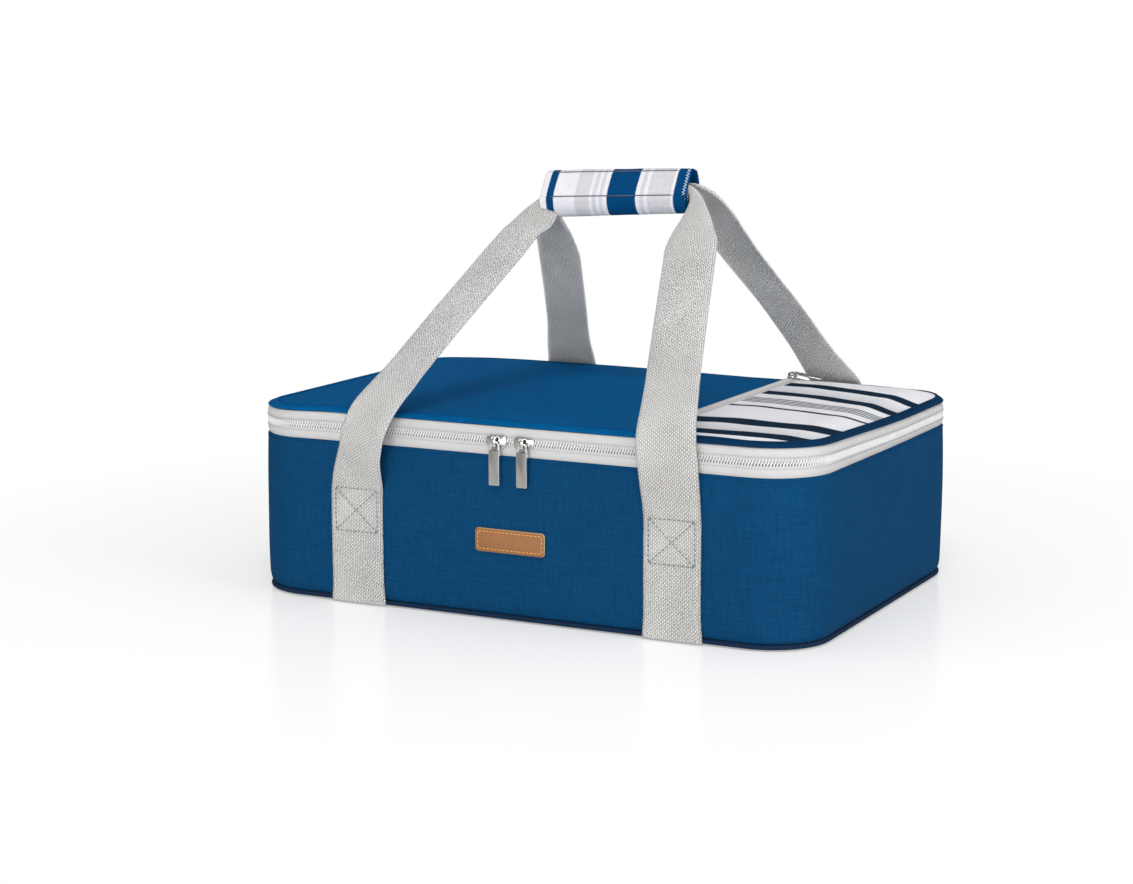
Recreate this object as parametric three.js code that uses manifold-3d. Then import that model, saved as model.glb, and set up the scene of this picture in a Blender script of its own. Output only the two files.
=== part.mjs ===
// Casserole carrier: an insulated zipped tub, a lid with a striped pocket, and two webbing handles
// held together by a padded wrap.
// Millimetres, +Z up, +X along the length, -Y is the front. The origin is the centre of the base.

import * as THREE from 'three';
import { mergeVertices } from 'three/addons/utils/BufferGeometryUtils.js';
import Module from 'manifold-3d';

const wasm = await Module();
wasm.setup();

// Plan of the tub
const LENGTH = 410;
const WIDTH = 290;
const CORNER_RADIUS = 42;
const LEAST_CORNER_RADIUS = 3;
const CORNER_STEPS = 8;

// Heights
const WALL_TOP = 109;
const ZIP_BAND = 19;

// Layers of the tub and the lid
const SHELL = 1.6;
const FOAM = 5;
const LINING = 0.8;
const BASE_SHEET = 1.8;
const BASE_BOARD = 3;
const PIPING_RADIUS = 1.6;
const PIPING_LIFT = 0.4;
const PIPING_SIDES = 10;
const BINDING_HEIGHT = 1.2;
const GAP = 0.3;

// Lid
const LID_EDGE = 2.2;
const LID_EDGE_STEPS = 4;
const LID_INNER_INSET = 5;
const RIDGE_RADIUS = 1.1;
const RIDGE_INSET = 5.4;

// Main zip
const TAPE_INSET = 1.4;
const TAPE_THICKNESS = 0.8;
const COIL_HEIGHT = 1.8;
const COIL_DEPTH = 1.4;
const COIL_PROUD = 0.1;
const COIL_SPACE = 1.2;
const ZIP_END_X = 140;

// Main zip sliders and pulls
const SLIDER_X = 10;
const SLIDER_LENGTH = 14.5;
const SLIDER_NOSE = 7;
const SLIDER_HEIGHT = 9.4;
const SLIDER_PLATE = 1.2;
const SLIDER_CLEARANCE = 0.35;
const POST_THICKNESS = 0.6;
const POST_LENGTH = 6;
const BAIL_WIDTH = 3;
const BAIL_BAR = 1.1;
const BAIL_SPACE = 3.8;
const BAIL_HEIGHT = 6.4;
const PULL_WIDTH = 7.6;
const PULL_TAPER = 0.4;
const PULL_LENGTH = 29;
const PULL_THICKNESS = 2.8;
const PULL_TOP_BAR = 1.5;
const PULL_RAIL = 1;
const PULL_EYE_HEIGHT = 4.6;
const PULL_BEVEL = 0.25;

// Lid pocket
const POCKET_ZIP_X = 92;
const POCKET_ZIP_FRONT_INSET = 25;
const POCKET_ZIP_REAR_INSET = 15;
const POCKET_TAPE = 5;
const POCKET_PANEL = 1.2;
const POCKET_EDGE_INSET = 3.4;
const POCKET_BINDING = 2.2;
const POCKET_COIL_WIDTH = 2.4;
const POCKET_COIL_HEIGHT = 1.2;
const POCKET_SLIDER_INSET = 35;
const POCKET_SLIDER_LENGTH = 9;
const POCKET_SLIDER_WIDTH = 6.4;
const POCKET_PULL_SCALE = 0.78;

// Webbing handles
const STRAP_X = 115;
const STRAP_WIDTH = 40;
const STRAP_THICKNESS = 1.8;
const STRAP_FOOT = 1;
const STITCH_TOP = 80;
const KNEE_X = 105;
const KNEE_OUT = 5;
const KNEE_Z = 132;
const KNEE_SIZE = 20;
const GRIP_OFFSET_X = 5;
const GRIP_Z = 269;
const FOLD_HEIGHT = 14;
const FOLD_THICKNESS = 5.2;
const FOLD_RUN = 50;
const GRIP_SPLIT = 4.2;
const TURN_OUT = 7.5;
const LEG_STEPS = 6;

// Handle wrap
const WRAP_LENGTH = 106;
const WRAP_HALF_HEIGHT = 16;
const WRAP_HALF_DEPTH = 12.5;
const WRAP_THICKNESS = 3.6;
const WRAP_SQUARENESS = 0.72;
const WRAP_HINGE_ANGLE = 62;
const WRAP_STEP_ANGLE = 9;
const FASTENER = 0.8;
const TONGUE = 1.5;
const TONGUE_ANGLE = -132;
const FASTENER_LENGTH = 96;

// Label
const LABEL_LENGTH = 50.5;
const LABEL_HEIGHT = 15.4;
const LABEL_THICKNESS = 1.2;
const LABEL_CORNER = 1.6;
const LABEL_Z = 53;

// Sizes that follow from the ones above
const HALF_WIDTH = WIDTH / 2;
const RIM_Z = WALL_TOP + ZIP_BAND;
const COIL_Z = WALL_TOP + ZIP_BAND / 2;
const LID_TOP = RIM_Z + GAP + LID_EDGE;
const FOAM_INSET = SHELL + GAP;
const LINING_INSET = FOAM_INSET + FOAM + GAP;
const BASE_INSET = 2 * PIPING_RADIUS + GAP;
const BOARD_Z = BASE_SHEET + GAP;
const FOAM_Z = BOARD_Z + BASE_BOARD + GAP;
const LINING_Z = FOAM_Z + FOAM + GAP;
const POCKET_Z = LID_TOP + GAP;
const POCKET_ZIP_FRONT = POCKET_ZIP_FRONT_INSET - HALF_WIDTH;
const POCKET_ZIP_REAR = HALF_WIDTH - POCKET_ZIP_REAR_INSET;
const POCKET_SLIDER_Y = HALF_WIDTH - POCKET_SLIDER_INSET;
const COIL_INSET = TAPE_INSET - COIL_DEPTH - COIL_PROUD;
const STRAP_FACE = HALF_WIDTH + GAP;
const GRIP_Y = (FOLD_THICKNESS + GRIP_SPLIT) / 2;

const CORNERS = {
  rearRight: { sideX: 1, sideY: 1, start: 0 },
  rearLeft: { sideX: -1, sideY: 1, start: Math.PI / 2 },
  frontLeft: { sideX: -1, sideY: -1, start: Math.PI },
  frontRight: { sideX: 1, sideY: -1, start: 1.5 * Math.PI },
};

// Plan outlines, as runs of [x, y], anticlockwise seen from above

function cornerArc(corner, inset) {
  const radius = Math.max(CORNER_RADIUS - inset, LEAST_CORNER_RADIUS);
  const centreX = corner.sideX * (LENGTH / 2 - inset - radius);
  const centreY = corner.sideY * (HALF_WIDTH - inset - radius);
  const points = [];
  for (let step = 0; step <= CORNER_STEPS; step += 1) {
    const angle = corner.start + (Math.PI / 2) * (step / CORNER_STEPS);
    points.push([centreX + radius * Math.cos(angle), centreY + radius * Math.sin(angle)]);
  }
  return points;
}

function wholeLoop(inset) {
  return Object.values(CORNERS).flatMap((corner) => cornerArc(corner, inset));
}

// The zip runs round the left side, the front and the right side, and stops behind
function zipRun(inset) {
  const { rearLeft, frontLeft, frontRight, rearRight } = CORNERS;
  const arcs = [rearLeft, frontLeft, frontRight, rearRight].flatMap((corner) => cornerArc(corner, inset));
  return [[-ZIP_END_X, HALF_WIDTH - inset], ...arcs, [ZIP_END_X, HALF_WIDTH - inset]];
}

// The pocket's edge runs along the front, the right side and the back of the lid
function pocketRun(inset) {
  const { frontRight, rearRight } = CORNERS;
  const arcs = [frontRight, rearRight].flatMap((corner) => cornerArc(corner, inset));
  const startX = POCKET_ZIP_X + POCKET_TAPE + 2 * GAP;
  return [[startX, inset - HALF_WIDTH], ...arcs, [startX, HALF_WIDTH - inset]];
}

// The lid's ridge runs round the rest of the lid, from the pocket's zip to its other end
function ridgeRun(inset) {
  const { rearLeft, frontLeft } = CORNERS;
  const arcs = [rearLeft, frontLeft].flatMap((corner) => cornerArc(corner, inset));
  const endX = POCKET_ZIP_X + POCKET_TAPE;
  return [[endX, HALF_WIDTH - inset], ...arcs, [endX, inset - HALF_WIDTH]];
}

// Solids

function faceNormal(ring) {
  const normal = new THREE.Vector3();
  ring.forEach((point, i) => {
    const next = ring[(i + 1) % ring.length];
    normal.x += (point.y - next.y) * (point.z + next.z);
    normal.y += (point.z - next.z) * (point.x + next.x);
    normal.z += (point.x - next.x) * (point.y + next.y);
  });
  return normal.normalize();
}

// Triangles that fill one ring, wound the way the ring runs
function fillRing(ring) {
  const normal = faceNormal(ring);
  const turn = new THREE.Quaternion().setFromUnitVectors(normal, new THREE.Vector3(0, 0, 1));
  const flat = ring.map((point) => {
    const turned = point.clone().applyQuaternion(turn);
    return new THREE.Vector2(turned.x, turned.y);
  });
  return THREE.ShapeUtils.triangulateShape(flat, []).map(([a, b, c]) => {
    const area = flat[b].clone().sub(flat[a]).cross(flat[c].clone().sub(flat[a]));
    return area > 0 ? [a, b, c] : [a, c, b];
  });
}

function signedVolume(points, triangles) {
  const volumes = triangles.map(([a, b, c]) => points[a].dot(points[b].clone().cross(points[c])));
  return volumes.reduce((sum, value) => sum + value, 0);
}

// A closed skin over a row of rings that all have the same number of points
function loft(rings, closed = false) {
  const count = rings[0].length;
  const points = rings.flat();
  const triangles = [];
  const spans = closed ? rings.length : rings.length - 1;
  for (let span = 0; span < spans; span += 1) {
    const here = span * count;
    const there = ((span + 1) % rings.length) * count;
    for (let i = 0; i < count; i += 1) {
      const next = (i + 1) % count;
      triangles.push([here + i, here + next, there + next]);
      triangles.push([here + i, there + next, there + i]);
    }
  }
  if (!closed) {
    const last = points.length - count;
    fillRing(rings[0]).forEach(([a, b, c]) => triangles.push([a, c, b]));
    fillRing(rings[rings.length - 1]).forEach(([a, b, c]) => triangles.push([last + a, last + b, last + c]));
  }
  const inward = signedVolume(points, triangles) < 0;
  const geometry = new THREE.BufferGeometry().setFromPoints(points);
  geometry.setIndex(triangles.flatMap(([a, b, c]) => (inward ? [a, c, b] : [a, b, c])));
  geometry.computeVertexNormals();
  return geometry;
}

// A profile of [inset, z] points carried along a run of the plan
function sweep(profile, run, closed = false) {
  const lines = profile.map(([inset, z]) => run(inset).map(([x, y]) => new THREE.Vector3(x, y, z)));
  const sections = lines[0].map((_, i) => lines.map((line) => line[i]));
  return loft(sections, closed);
}

// Whole loops of the plan, each at its own [inset, z], closed over at both ends
function stack(profile) {
  return loft(profile.map(([inset, z]) => wholeLoop(inset).map(([x, y]) => new THREE.Vector3(x, y, z))));
}

function rectangle(insetA, insetB, zA, zB) {
  return [[insetA, zA], [insetB, zA], [insetB, zB], [insetA, zB]];
}

function circle(inset, z, radius, sides) {
  return Array.from({ length: sides }, (_, i) => {
    const angle = (2 * Math.PI * i) / sides;
    return [inset + radius * Math.cos(angle), z + radius * Math.sin(angle)];
  });
}

function roundedRectangle(width, height, radius) {
  const shape = new THREE.Shape();
  const x = width / 2 - radius;
  const y = height / 2 - radius;
  shape.absarc(x, y, radius, 0, Math.PI / 2);
  shape.absarc(-x, y, radius, Math.PI / 2, Math.PI);
  shape.absarc(-x, -y, radius, Math.PI, 1.5 * Math.PI);
  shape.absarc(x, -y, radius, 1.5 * Math.PI, 2 * Math.PI);
  shape.closePath();
  return shape;
}

function toManifold(geometry) {
  const bare = geometry.clone();
  bare.deleteAttribute('normal');
  bare.deleteAttribute('uv');
  const merged = mergeVertices(bare);
  return new wasm.Manifold(new wasm.Mesh({
    numProp: 3,
    vertProperties: new Float32Array(merged.attributes.position.array),
    triVerts: new Uint32Array(merged.index.array),
  }));
}

function fromManifold(solid) {
  const mesh = solid.getMesh();
  const geometry = new THREE.BufferGeometry();
  geometry.setAttribute('position', new THREE.BufferAttribute(mesh.vertProperties, 3));
  geometry.setIndex(new THREE.BufferAttribute(mesh.triVerts, 1));
  geometry.computeVertexNormals();
  return geometry;
}

// Finishes

const FINISHES = {
  blueCloth: { color: 0x104978, roughness: 0.85, metalness: 0 },
  lidCloth: { color: 0x0a5087, roughness: 0.8, metalness: 0 },
  navyCloth: { color: 0x14213f, roughness: 0.85, metalness: 0 },
  foam: { color: 0xe9e7df, roughness: 0.95, metalness: 0 },
  foil: { color: 0xc9ccd0, roughness: 0.3, metalness: 0.9 },
  board: { color: 0x8a7b66, roughness: 0.9, metalness: 0 },
  zipTape: { color: 0xe4e4e2, roughness: 0.85, metalness: 0 },
  zipCoil: { color: 0xb9bbbd, roughness: 0.5, metalness: 0 },
  chrome: { color: 0xc8cacc, roughness: 0.15, metalness: 1 },
  webbing: { color: 0xc4c4c0, roughness: 0.9, metalness: 0 },
  stripes: { color: 0xd5d8de, roughness: 0.8, metalness: 0 },
  leather: { color: 0xa8632c, roughness: 0.6, metalness: 0 },
};

const carrier = new THREE.Group();

function addPiece(parent, name, geometry, finish) {
  const mesh = new THREE.Mesh(geometry, new THREE.MeshStandardMaterial(FINISHES[finish]));
  mesh.name = name;
  parent.add(mesh);
  return mesh;
}

// Tub: outer wall, base, insulation, lining and the binding over its top edge

function addTub() {
  const wallBottom = PIPING_LIFT + 2 * PIPING_RADIUS + GAP;
  const bindingZ = WALL_TOP + GAP;
  const liningFace = LINING_INSET + LINING;
  const pipingZ = PIPING_LIFT + PIPING_RADIUS;
  const wall = sweep(rectangle(0, SHELL, wallBottom, WALL_TOP), wholeLoop, true);
  const piping = sweep(circle(PIPING_RADIUS, pipingZ, PIPING_RADIUS, PIPING_SIDES), wholeLoop, true);
  const insulation = stack([
    [FOAM_INSET, FOAM_Z],
    [FOAM_INSET, WALL_TOP],
    [FOAM_INSET + FOAM, WALL_TOP],
    [FOAM_INSET + FOAM, FOAM_Z + FOAM],
  ]);
  const lining = stack([
    [LINING_INSET, LINING_Z],
    [LINING_INSET, WALL_TOP],
    [liningFace, WALL_TOP],
    [liningFace, LINING_Z + LINING],
  ]);
  const bindingStart = TAPE_INSET + TAPE_THICKNESS + 2 * GAP + SLIDER_PLATE + GAP;
  const bindingFace = rectangle(bindingStart, liningFace, bindingZ, bindingZ + BINDING_HEIGHT);
  const binding = sweep(bindingFace, wholeLoop, true);
  addPiece(carrier, 'outer_wall', wall, 'blueCloth');
  addPiece(carrier, 'base_panel', stack([[BASE_INSET, 0], [BASE_INSET, BASE_SHEET]]), 'navyCloth');
  addPiece(carrier, 'base_piping', piping, 'navyCloth');
  const board = stack([[BASE_INSET, BOARD_Z], [BASE_INSET, BOARD_Z + BASE_BOARD]]);
  addPiece(carrier, 'base_board', board, 'board');
  addPiece(carrier, 'wall_insulation', insulation, 'foam');
  addPiece(carrier, 'inner_lining', lining, 'foil');
  addPiece(carrier, 'inner_binding', binding, 'navyCloth');
}

// Main zip: two tapes and two coils, with the cloth hinge that closes the gap behind

function addMainZip() {
  const tapeBack = TAPE_INSET + TAPE_THICKNESS;
  const lowerEdge = COIL_Z - COIL_SPACE / 2;
  const upperEdge = COIL_Z + COIL_SPACE / 2;
  const coilBack = COIL_INSET + COIL_DEPTH;
  const tape = (zA, zB) => sweep(rectangle(TAPE_INSET, tapeBack, zA, zB), zipRun);
  const coil = (zA, zB) => sweep(rectangle(COIL_INSET, coilBack, zA, zB), zipRun);
  const hinge = new THREE.BoxGeometry(2 * (ZIP_END_X - GAP), SHELL, ZIP_BAND - GAP);
  addPiece(carrier, 'lower_zip_tape', tape(WALL_TOP + GAP, lowerEdge), 'zipTape');
  addPiece(carrier, 'lower_zip_coil', coil(lowerEdge - COIL_HEIGHT, lowerEdge), 'zipCoil');
  addPiece(carrier, 'upper_zip_tape', tape(upperEdge, RIM_Z), 'zipTape');
  addPiece(carrier, 'upper_zip_coil', coil(upperEdge, upperEdge + COIL_HEIGHT), 'zipCoil');
  const panel = addPiece(carrier, 'rear_hinge_panel', hinge, 'blueCloth');
  panel.position.set(0, HALF_WIDTH - SHELL / 2, WALL_TOP + GAP + (ZIP_BAND - GAP) / 2);
}

// A slider is two plates on a post, with a bail outside that holds the pull.
// It is drawn with its nose to +X, its front plate to +Z and the zip along X.

function sliderOutline(length, height) {
  const nose = (height * SLIDER_NOSE) / SLIDER_HEIGHT;
  const shape = new THREE.Shape();
  shape.moveTo(-length / 2, -height / 2);
  shape.lineTo(0, -height / 2);
  shape.quadraticCurveTo(length / 4, -height / 2, length / 2, -nose / 2);
  shape.lineTo(length / 2, nose / 2);
  shape.quadraticCurveTo(length / 4, height / 2, 0, height / 2);
  shape.lineTo(-length / 2, height / 2);
  shape.closePath();
  return shape;
}

function plate(shape, z, depth) {
  const geometry = new THREE.ExtrudeGeometry(shape, { depth, bevelEnabled: false, curveSegments: 6 });
  return geometry.translate(0, 0, z);
}

// An arch that stands on the plate, seen along X; its legs lie along Y
function bailGeometry(z, height) {
  const shape = new THREE.Shape();
  const half = height / 2;
  const top = BAIL_SPACE + BAIL_BAR;
  shape.moveTo(-half, -SLIDER_PLATE / 2);
  shape.lineTo(-half + BAIL_BAR, -SLIDER_PLATE / 2);
  shape.lineTo(-half + BAIL_BAR, BAIL_SPACE);
  shape.lineTo(half - BAIL_BAR, BAIL_SPACE);
  shape.lineTo(half - BAIL_BAR, -SLIDER_PLATE / 2);
  shape.lineTo(half, -SLIDER_PLATE / 2);
  shape.lineTo(half, top - BAIL_BAR / 2);
  shape.quadraticCurveTo(half, top, half - BAIL_BAR / 2, top);
  shape.lineTo(-half + BAIL_BAR / 2, top);
  shape.quadraticCurveTo(-half, top, -half, top - BAIL_BAR / 2);
  shape.closePath();
  const settings = { depth: BAIL_WIDTH, bevelEnabled: false, curveSegments: 3 };
  const geometry = new THREE.ExtrudeGeometry(shape, settings);
  geometry.translate(0, 0, -BAIL_WIDTH / 2);
  geometry.rotateX(Math.PI / 2);
  geometry.rotateZ(Math.PI / 2);
  return geometry.translate(0, 0, z);
}

// How far the bar at a pull's top reaches from the axis it turns on
function pullTurnRadius(scale) {
  return Math.hypot(PULL_TOP_BAR, PULL_THICKNESS * scale) / 2;
}

// A long flat pull hanging along -Y from a bar at its own origin
function pullGeometry(scale) {
  const shape = new THREE.Shape();
  const half = (PULL_WIDTH * scale) / 2;
  const topHalf = half - PULL_TAPER * scale;
  const eyeHalf = topHalf - PULL_RAIL * scale;
  const bottom = PULL_TOP_BAR / 2 - PULL_LENGTH * scale;
  const eyeTop = -PULL_TOP_BAR / 2;
  const eyeBottom = eyeTop - PULL_EYE_HEIGHT;
  const top = PULL_TOP_BAR / 2;
  shape.moveTo(-topHalf, top);
  shape.lineTo(-half, bottom);
  shape.lineTo(half, bottom);
  shape.lineTo(topHalf, top);
  shape.closePath();
  const eye = new THREE.Path();
  eye.moveTo(-eyeHalf, eyeTop);
  eye.lineTo(eyeHalf, eyeTop);
  eye.lineTo(eyeHalf, eyeBottom);
  eye.lineTo(-eyeHalf, eyeBottom);
  eye.closePath();
  shape.holes.push(eye);
  const depth = PULL_THICKNESS * scale - 2 * PULL_BEVEL;
  const geometry = new THREE.ExtrudeGeometry(shape, {
    depth,
    bevelThickness: PULL_BEVEL,
    bevelSize: PULL_BEVEL,
    bevelOffset: -PULL_BEVEL,
    bevelSegments: 1,
  });
  return geometry.translate(0, 0, -depth / 2);
}

function addMainSlider(name, side) {
  const frontZ = -COIL_INSET + SLIDER_CLEARANCE;
  const backZ = -(TAPE_INSET + TAPE_THICKNESS + SLIDER_CLEARANCE) - SLIDER_PLATE;
  const outline = sliderOutline(SLIDER_LENGTH, SLIDER_HEIGHT);
  const postDepth = frontZ - backZ;
  const post = new THREE.BoxGeometry(POST_LENGTH, POST_THICKNESS, postDepth);
  post.translate(SLIDER_LENGTH / 2 - POST_LENGTH, 0, backZ + SLIDER_PLATE / 2 + postDepth / 2);
  const solid = toManifold(plate(outline, frontZ, SLIDER_PLATE))
    .add(toManifold(plate(outline, backZ, SLIDER_PLATE)))
    .add(toManifold(post))
    .add(toManifold(bailGeometry(frontZ + SLIDER_PLATE, BAIL_HEIGHT)));
  const holder = new THREE.Group();
  holder.position.set(side * SLIDER_X, -HALF_WIDTH, COIL_Z);
  holder.rotation.set(Math.PI / 2, 0, 0);
  const slider = addPiece(holder, `${name}_slider`, fromManifold(solid), 'chrome');
  slider.rotation.z = side > 0 ? Math.PI : 0;
  const pull = addPiece(holder, `${name}_pull`, pullGeometry(1), 'chrome');
  const restOnLeg = BAIL_BAR + pullTurnRadius(1) - BAIL_HEIGHT / 2;
  pull.position.set(0, restOnLeg, frontZ + SLIDER_PLATE + BAIL_SPACE / 2);
  carrier.add(holder);
}

// Lid: cover, insulation, lining and the raised ridge sewn round its top

function addLid() {
  const lidBase = RIM_Z + GAP;
  const edge = [];
  for (let step = 0; step <= LID_EDGE_STEPS; step += 1) {
    const angle = (Math.PI / 2) * (step / LID_EDGE_STEPS);
    edge.push([LID_EDGE * (1 - Math.cos(angle)), lidBase + LID_EDGE * Math.sin(angle)]);
  }
  const underside = LID_TOP - SHELL;
  const cover = stack([[LID_EDGE, underside], [LID_EDGE, lidBase], ...edge]);
  const foamTop = underside - GAP;
  const foamBottom = foamTop - FOAM;
  const liningTop = foamBottom - GAP;
  const insulation = stack([[LID_INNER_INSET, foamBottom], [LID_INNER_INSET, foamTop]]);
  const lining = stack([[LID_INNER_INSET, liningTop - LINING], [LID_INNER_INSET, liningTop]]);
  const ridge = circle(RIDGE_INSET, LID_TOP + GAP + RIDGE_RADIUS, RIDGE_RADIUS, PIPING_SIDES);
  addPiece(carrier, 'lid_cover', cover, 'lidCloth');
  addPiece(carrier, 'lid_insulation', insulation, 'foam');
  addPiece(carrier, 'lid_lining', lining, 'foil');
  addPiece(carrier, 'lid_ridge', sweep(ridge, ridgeRun), 'lidCloth');
}

// Lid pocket: striped panel, binding along its outer edge, and its own zip across the lid

function addPocket() {
  const bindingInner = POCKET_EDGE_INSET + POCKET_BINDING;
  const bindingTop = POCKET_Z + POCKET_PANEL;
  const outer = pocketRun(bindingInner + GAP);
  const panelShape = new THREE.Shape(outer.map(([x, y]) => new THREE.Vector2(x, y)));
  const tapeLength = POCKET_ZIP_REAR - POCKET_ZIP_FRONT;
  const tapeY = (POCKET_ZIP_REAR + POCKET_ZIP_FRONT) / 2;
  const tapeWidth = POCKET_TAPE - GAP;
  const coilZ = bindingTop + GAP;
  addPiece(carrier, 'pocket_panel', plate(panelShape, POCKET_Z, POCKET_PANEL), 'stripes');
  const binding = rectangle(POCKET_EDGE_INSET, bindingInner, POCKET_Z, bindingTop);
  addPiece(carrier, 'pocket_binding', sweep(binding, pocketRun), 'navyCloth');
  for (const [name, side] of [['inner', -1], ['outer', 1]]) {
    const tape = new THREE.BoxGeometry(tapeWidth, tapeLength, POCKET_PANEL);
    const mesh = addPiece(carrier, `pocket_zip_tape_${name}`, tape, 'zipTape');
    mesh.position.set(POCKET_ZIP_X + side * (POCKET_TAPE / 2 + GAP / 2), tapeY, POCKET_Z + POCKET_PANEL / 2);
  }
  const coil = new THREE.BoxGeometry(POCKET_COIL_WIDTH, tapeLength, POCKET_COIL_HEIGHT);
  const coilMesh = addPiece(carrier, 'pocket_zip_coil', coil, 'zipCoil');
  coilMesh.position.set(POCKET_ZIP_X, tapeY, coilZ + POCKET_COIL_HEIGHT / 2);
  addPocketSlider(coilZ + POCKET_COIL_HEIGHT + GAP);
}

// The pocket's slider straddles its coil, and its pull lies on the pocket towards +X
function addPocketSlider(plateZ) {
  const lipDepth = POCKET_COIL_HEIGHT;
  const lipWidth = (POCKET_SLIDER_WIDTH - POCKET_COIL_WIDTH) / 2 - GAP;
  const outline = sliderOutline(POCKET_SLIDER_LENGTH, POCKET_SLIDER_WIDTH);
  let solid = toManifold(plate(outline, 0, SLIDER_PLATE));
  for (const side of [-1, 1]) {
    const lip = new THREE.BoxGeometry(POCKET_SLIDER_LENGTH / 2, lipWidth, lipDepth + SLIDER_PLATE / 2);
    const lipY = (side * (POCKET_SLIDER_WIDTH - lipWidth)) / 2;
    lip.translate(-POCKET_SLIDER_LENGTH / 4, lipY, SLIDER_PLATE / 4 - lipDepth / 2);
    solid = solid.add(toManifold(lip));
  }
  solid = solid.add(toManifold(bailGeometry(SLIDER_PLATE, BAIL_HEIGHT * POCKET_PULL_SCALE)));
  const holder = new THREE.Group();
  holder.position.set(POCKET_ZIP_X, POCKET_SLIDER_Y, plateZ);
  holder.rotation.z = Math.PI / 2;
  addPiece(holder, 'pocket_slider', fromManifold(solid), 'chrome');
  const pullLength = PULL_LENGTH * POCKET_PULL_SCALE;
  const pull = addPiece(holder, 'pocket_pull', pullGeometry(POCKET_PULL_SCALE), 'chrome');
  const restOnLeg = BAIL_BAR + pullTurnRadius(POCKET_PULL_SCALE) - (BAIL_HEIGHT * POCKET_PULL_SCALE) / 2;
  const pivotZ = SLIDER_PLATE + BAIL_SPACE / 2;
  const halfPull = (PULL_THICKNESS * POCKET_PULL_SCALE) / 2;
  const drop = plateZ + pivotZ - halfPull - GAP - POCKET_Z - POCKET_PANEL;
  pull.position.set(0, restOnLeg, pivotZ);
  pull.rotation.x = Math.asin(drop / pullLength);
  carrier.add(holder);
}

// Webbing handles: each strap is sewn flat to the wall, stands free above its stitches, leans in
// over the lid and turns along X, folded double, inside the wrap

function strapEnd(name, sideX, sideY) {
  const height = STITCH_TOP - STRAP_FOOT;
  const band = new THREE.BoxGeometry(STRAP_WIDTH, STRAP_THICKNESS, height);
  const mesh = addPiece(carrier, name, band, 'webbing');
  mesh.position.set(sideX * STRAP_X, sideY * (STRAP_FACE + STRAP_THICKNESS / 2), STRAP_FOOT + height / 2);
}

// Points along one leg's centre line, from the stitches to the wrap
function legCurve(sideX, sideY) {
  const startY = sideY * (STRAP_FACE + STRAP_THICKNESS / 2);
  const start = new THREE.Vector3(sideX * STRAP_X, startY, STITCH_TOP + GAP);
  const knee = new THREE.Vector3(sideX * KNEE_X, start.y + sideY * KNEE_OUT, KNEE_Z);
  const turnX = GRIP_OFFSET_X + sideX * (WRAP_LENGTH / 2 + GAP + TURN_OUT);
  const turn = new THREE.Vector3(turnX, sideY * GRIP_Y, GRIP_Z);
  const end = turn.clone().setX(turnX - sideX * TURN_OUT);
  const beforeKnee = knee.clone().add(start.clone().sub(knee).setLength(KNEE_SIZE));
  const afterKnee = knee.clone().add(turn.clone().sub(knee).setLength(KNEE_SIZE));
  const beforeTurn = turn.clone().add(knee.clone().sub(turn).setLength(TURN_OUT));
  const path = new THREE.CurvePath();
  path.add(new THREE.LineCurve3(start, beforeKnee));
  path.add(new THREE.QuadraticBezierCurve3(beforeKnee, knee, afterKnee));
  path.add(new THREE.LineCurve3(afterKnee, beforeTurn));
  path.add(new THREE.QuadraticBezierCurve3(beforeTurn, turn, end));
  return path;
}

// One leg: flat and full width at its foot, folded to half its width where it turns into the wrap
function legGeometry(sideX, sideY) {
  const path = legCurve(sideX, sideY);
  const lengths = path.getCurveLengths();
  const total = lengths[lengths.length - 1];
  const rings = [];
  path.curves.forEach((curve, index) => {
    const before = index > 0 ? lengths[index - 1] : 0;
    const steps = index === 0 ? 2 : LEG_STEPS;
    const turning = curve === path.curves.at(-1);
    for (let step = index === 0 ? 0 : 1; step <= steps; step += 1) {
      const along = step / steps;
      const tangent = index + step === 0 ? new THREE.Vector3(0, 0, 1) : curve.getTangentAt(along);
      const steep = turning ? curve.getTangentAt(0) : tangent;
      const outward = new THREE.Vector3(0, sideY * steep.z, -sideY * steep.y).normalize();
      outward.lerp(new THREE.Vector3(0, sideY, 0), turning ? along : 0);
      const across = tangent.clone().cross(outward).normalize();
      const normal = across.clone().cross(tangent);
      const left = total - before - curve.getLength() * along;
      const fold = THREE.MathUtils.smoothstep(FOLD_RUN + 2 * TURN_OUT - left, 0, FOLD_RUN);
      across.multiplyScalar(THREE.MathUtils.lerp(STRAP_WIDTH, FOLD_HEIGHT, fold) / 2);
      normal.multiplyScalar(THREE.MathUtils.lerp(STRAP_THICKNESS, FOLD_THICKNESS, fold) / 2);
      const centre = curve.getPointAt(along);
      rings.push([[-1, -1], [1, -1], [1, 1], [-1, 1]].map(([a, n]) => {
        return centre.clone().addScaledVector(across, a).addScaledVector(normal, n);
      }));
    }
  });
  return loft(rings);
}

function addHandle(name, sideY) {
  for (const [end, sideX] of [['left', -1], ['right', 1]]) {
    strapEnd(`${name}_${end}_strap_end`, sideX, sideY);
    addPiece(carrier, `${name}_${end}_strap_leg`, legGeometry(sideX, sideY), 'webbing');
  }
  const folded = new THREE.BoxGeometry(WRAP_LENGTH, FOLD_THICKNESS, FOLD_HEIGHT);
  const grip = addPiece(carrier, `${name}_grip`, folded, 'webbing');
  grip.position.set(GRIP_OFFSET_X, sideY * GRIP_Y, GRIP_Z);
}

// Handle wrap: a padded half fixed on the front grip, and a flap that closes round the rear grip and
// laps under the front half, where a hook strip meets a loop strip

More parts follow.
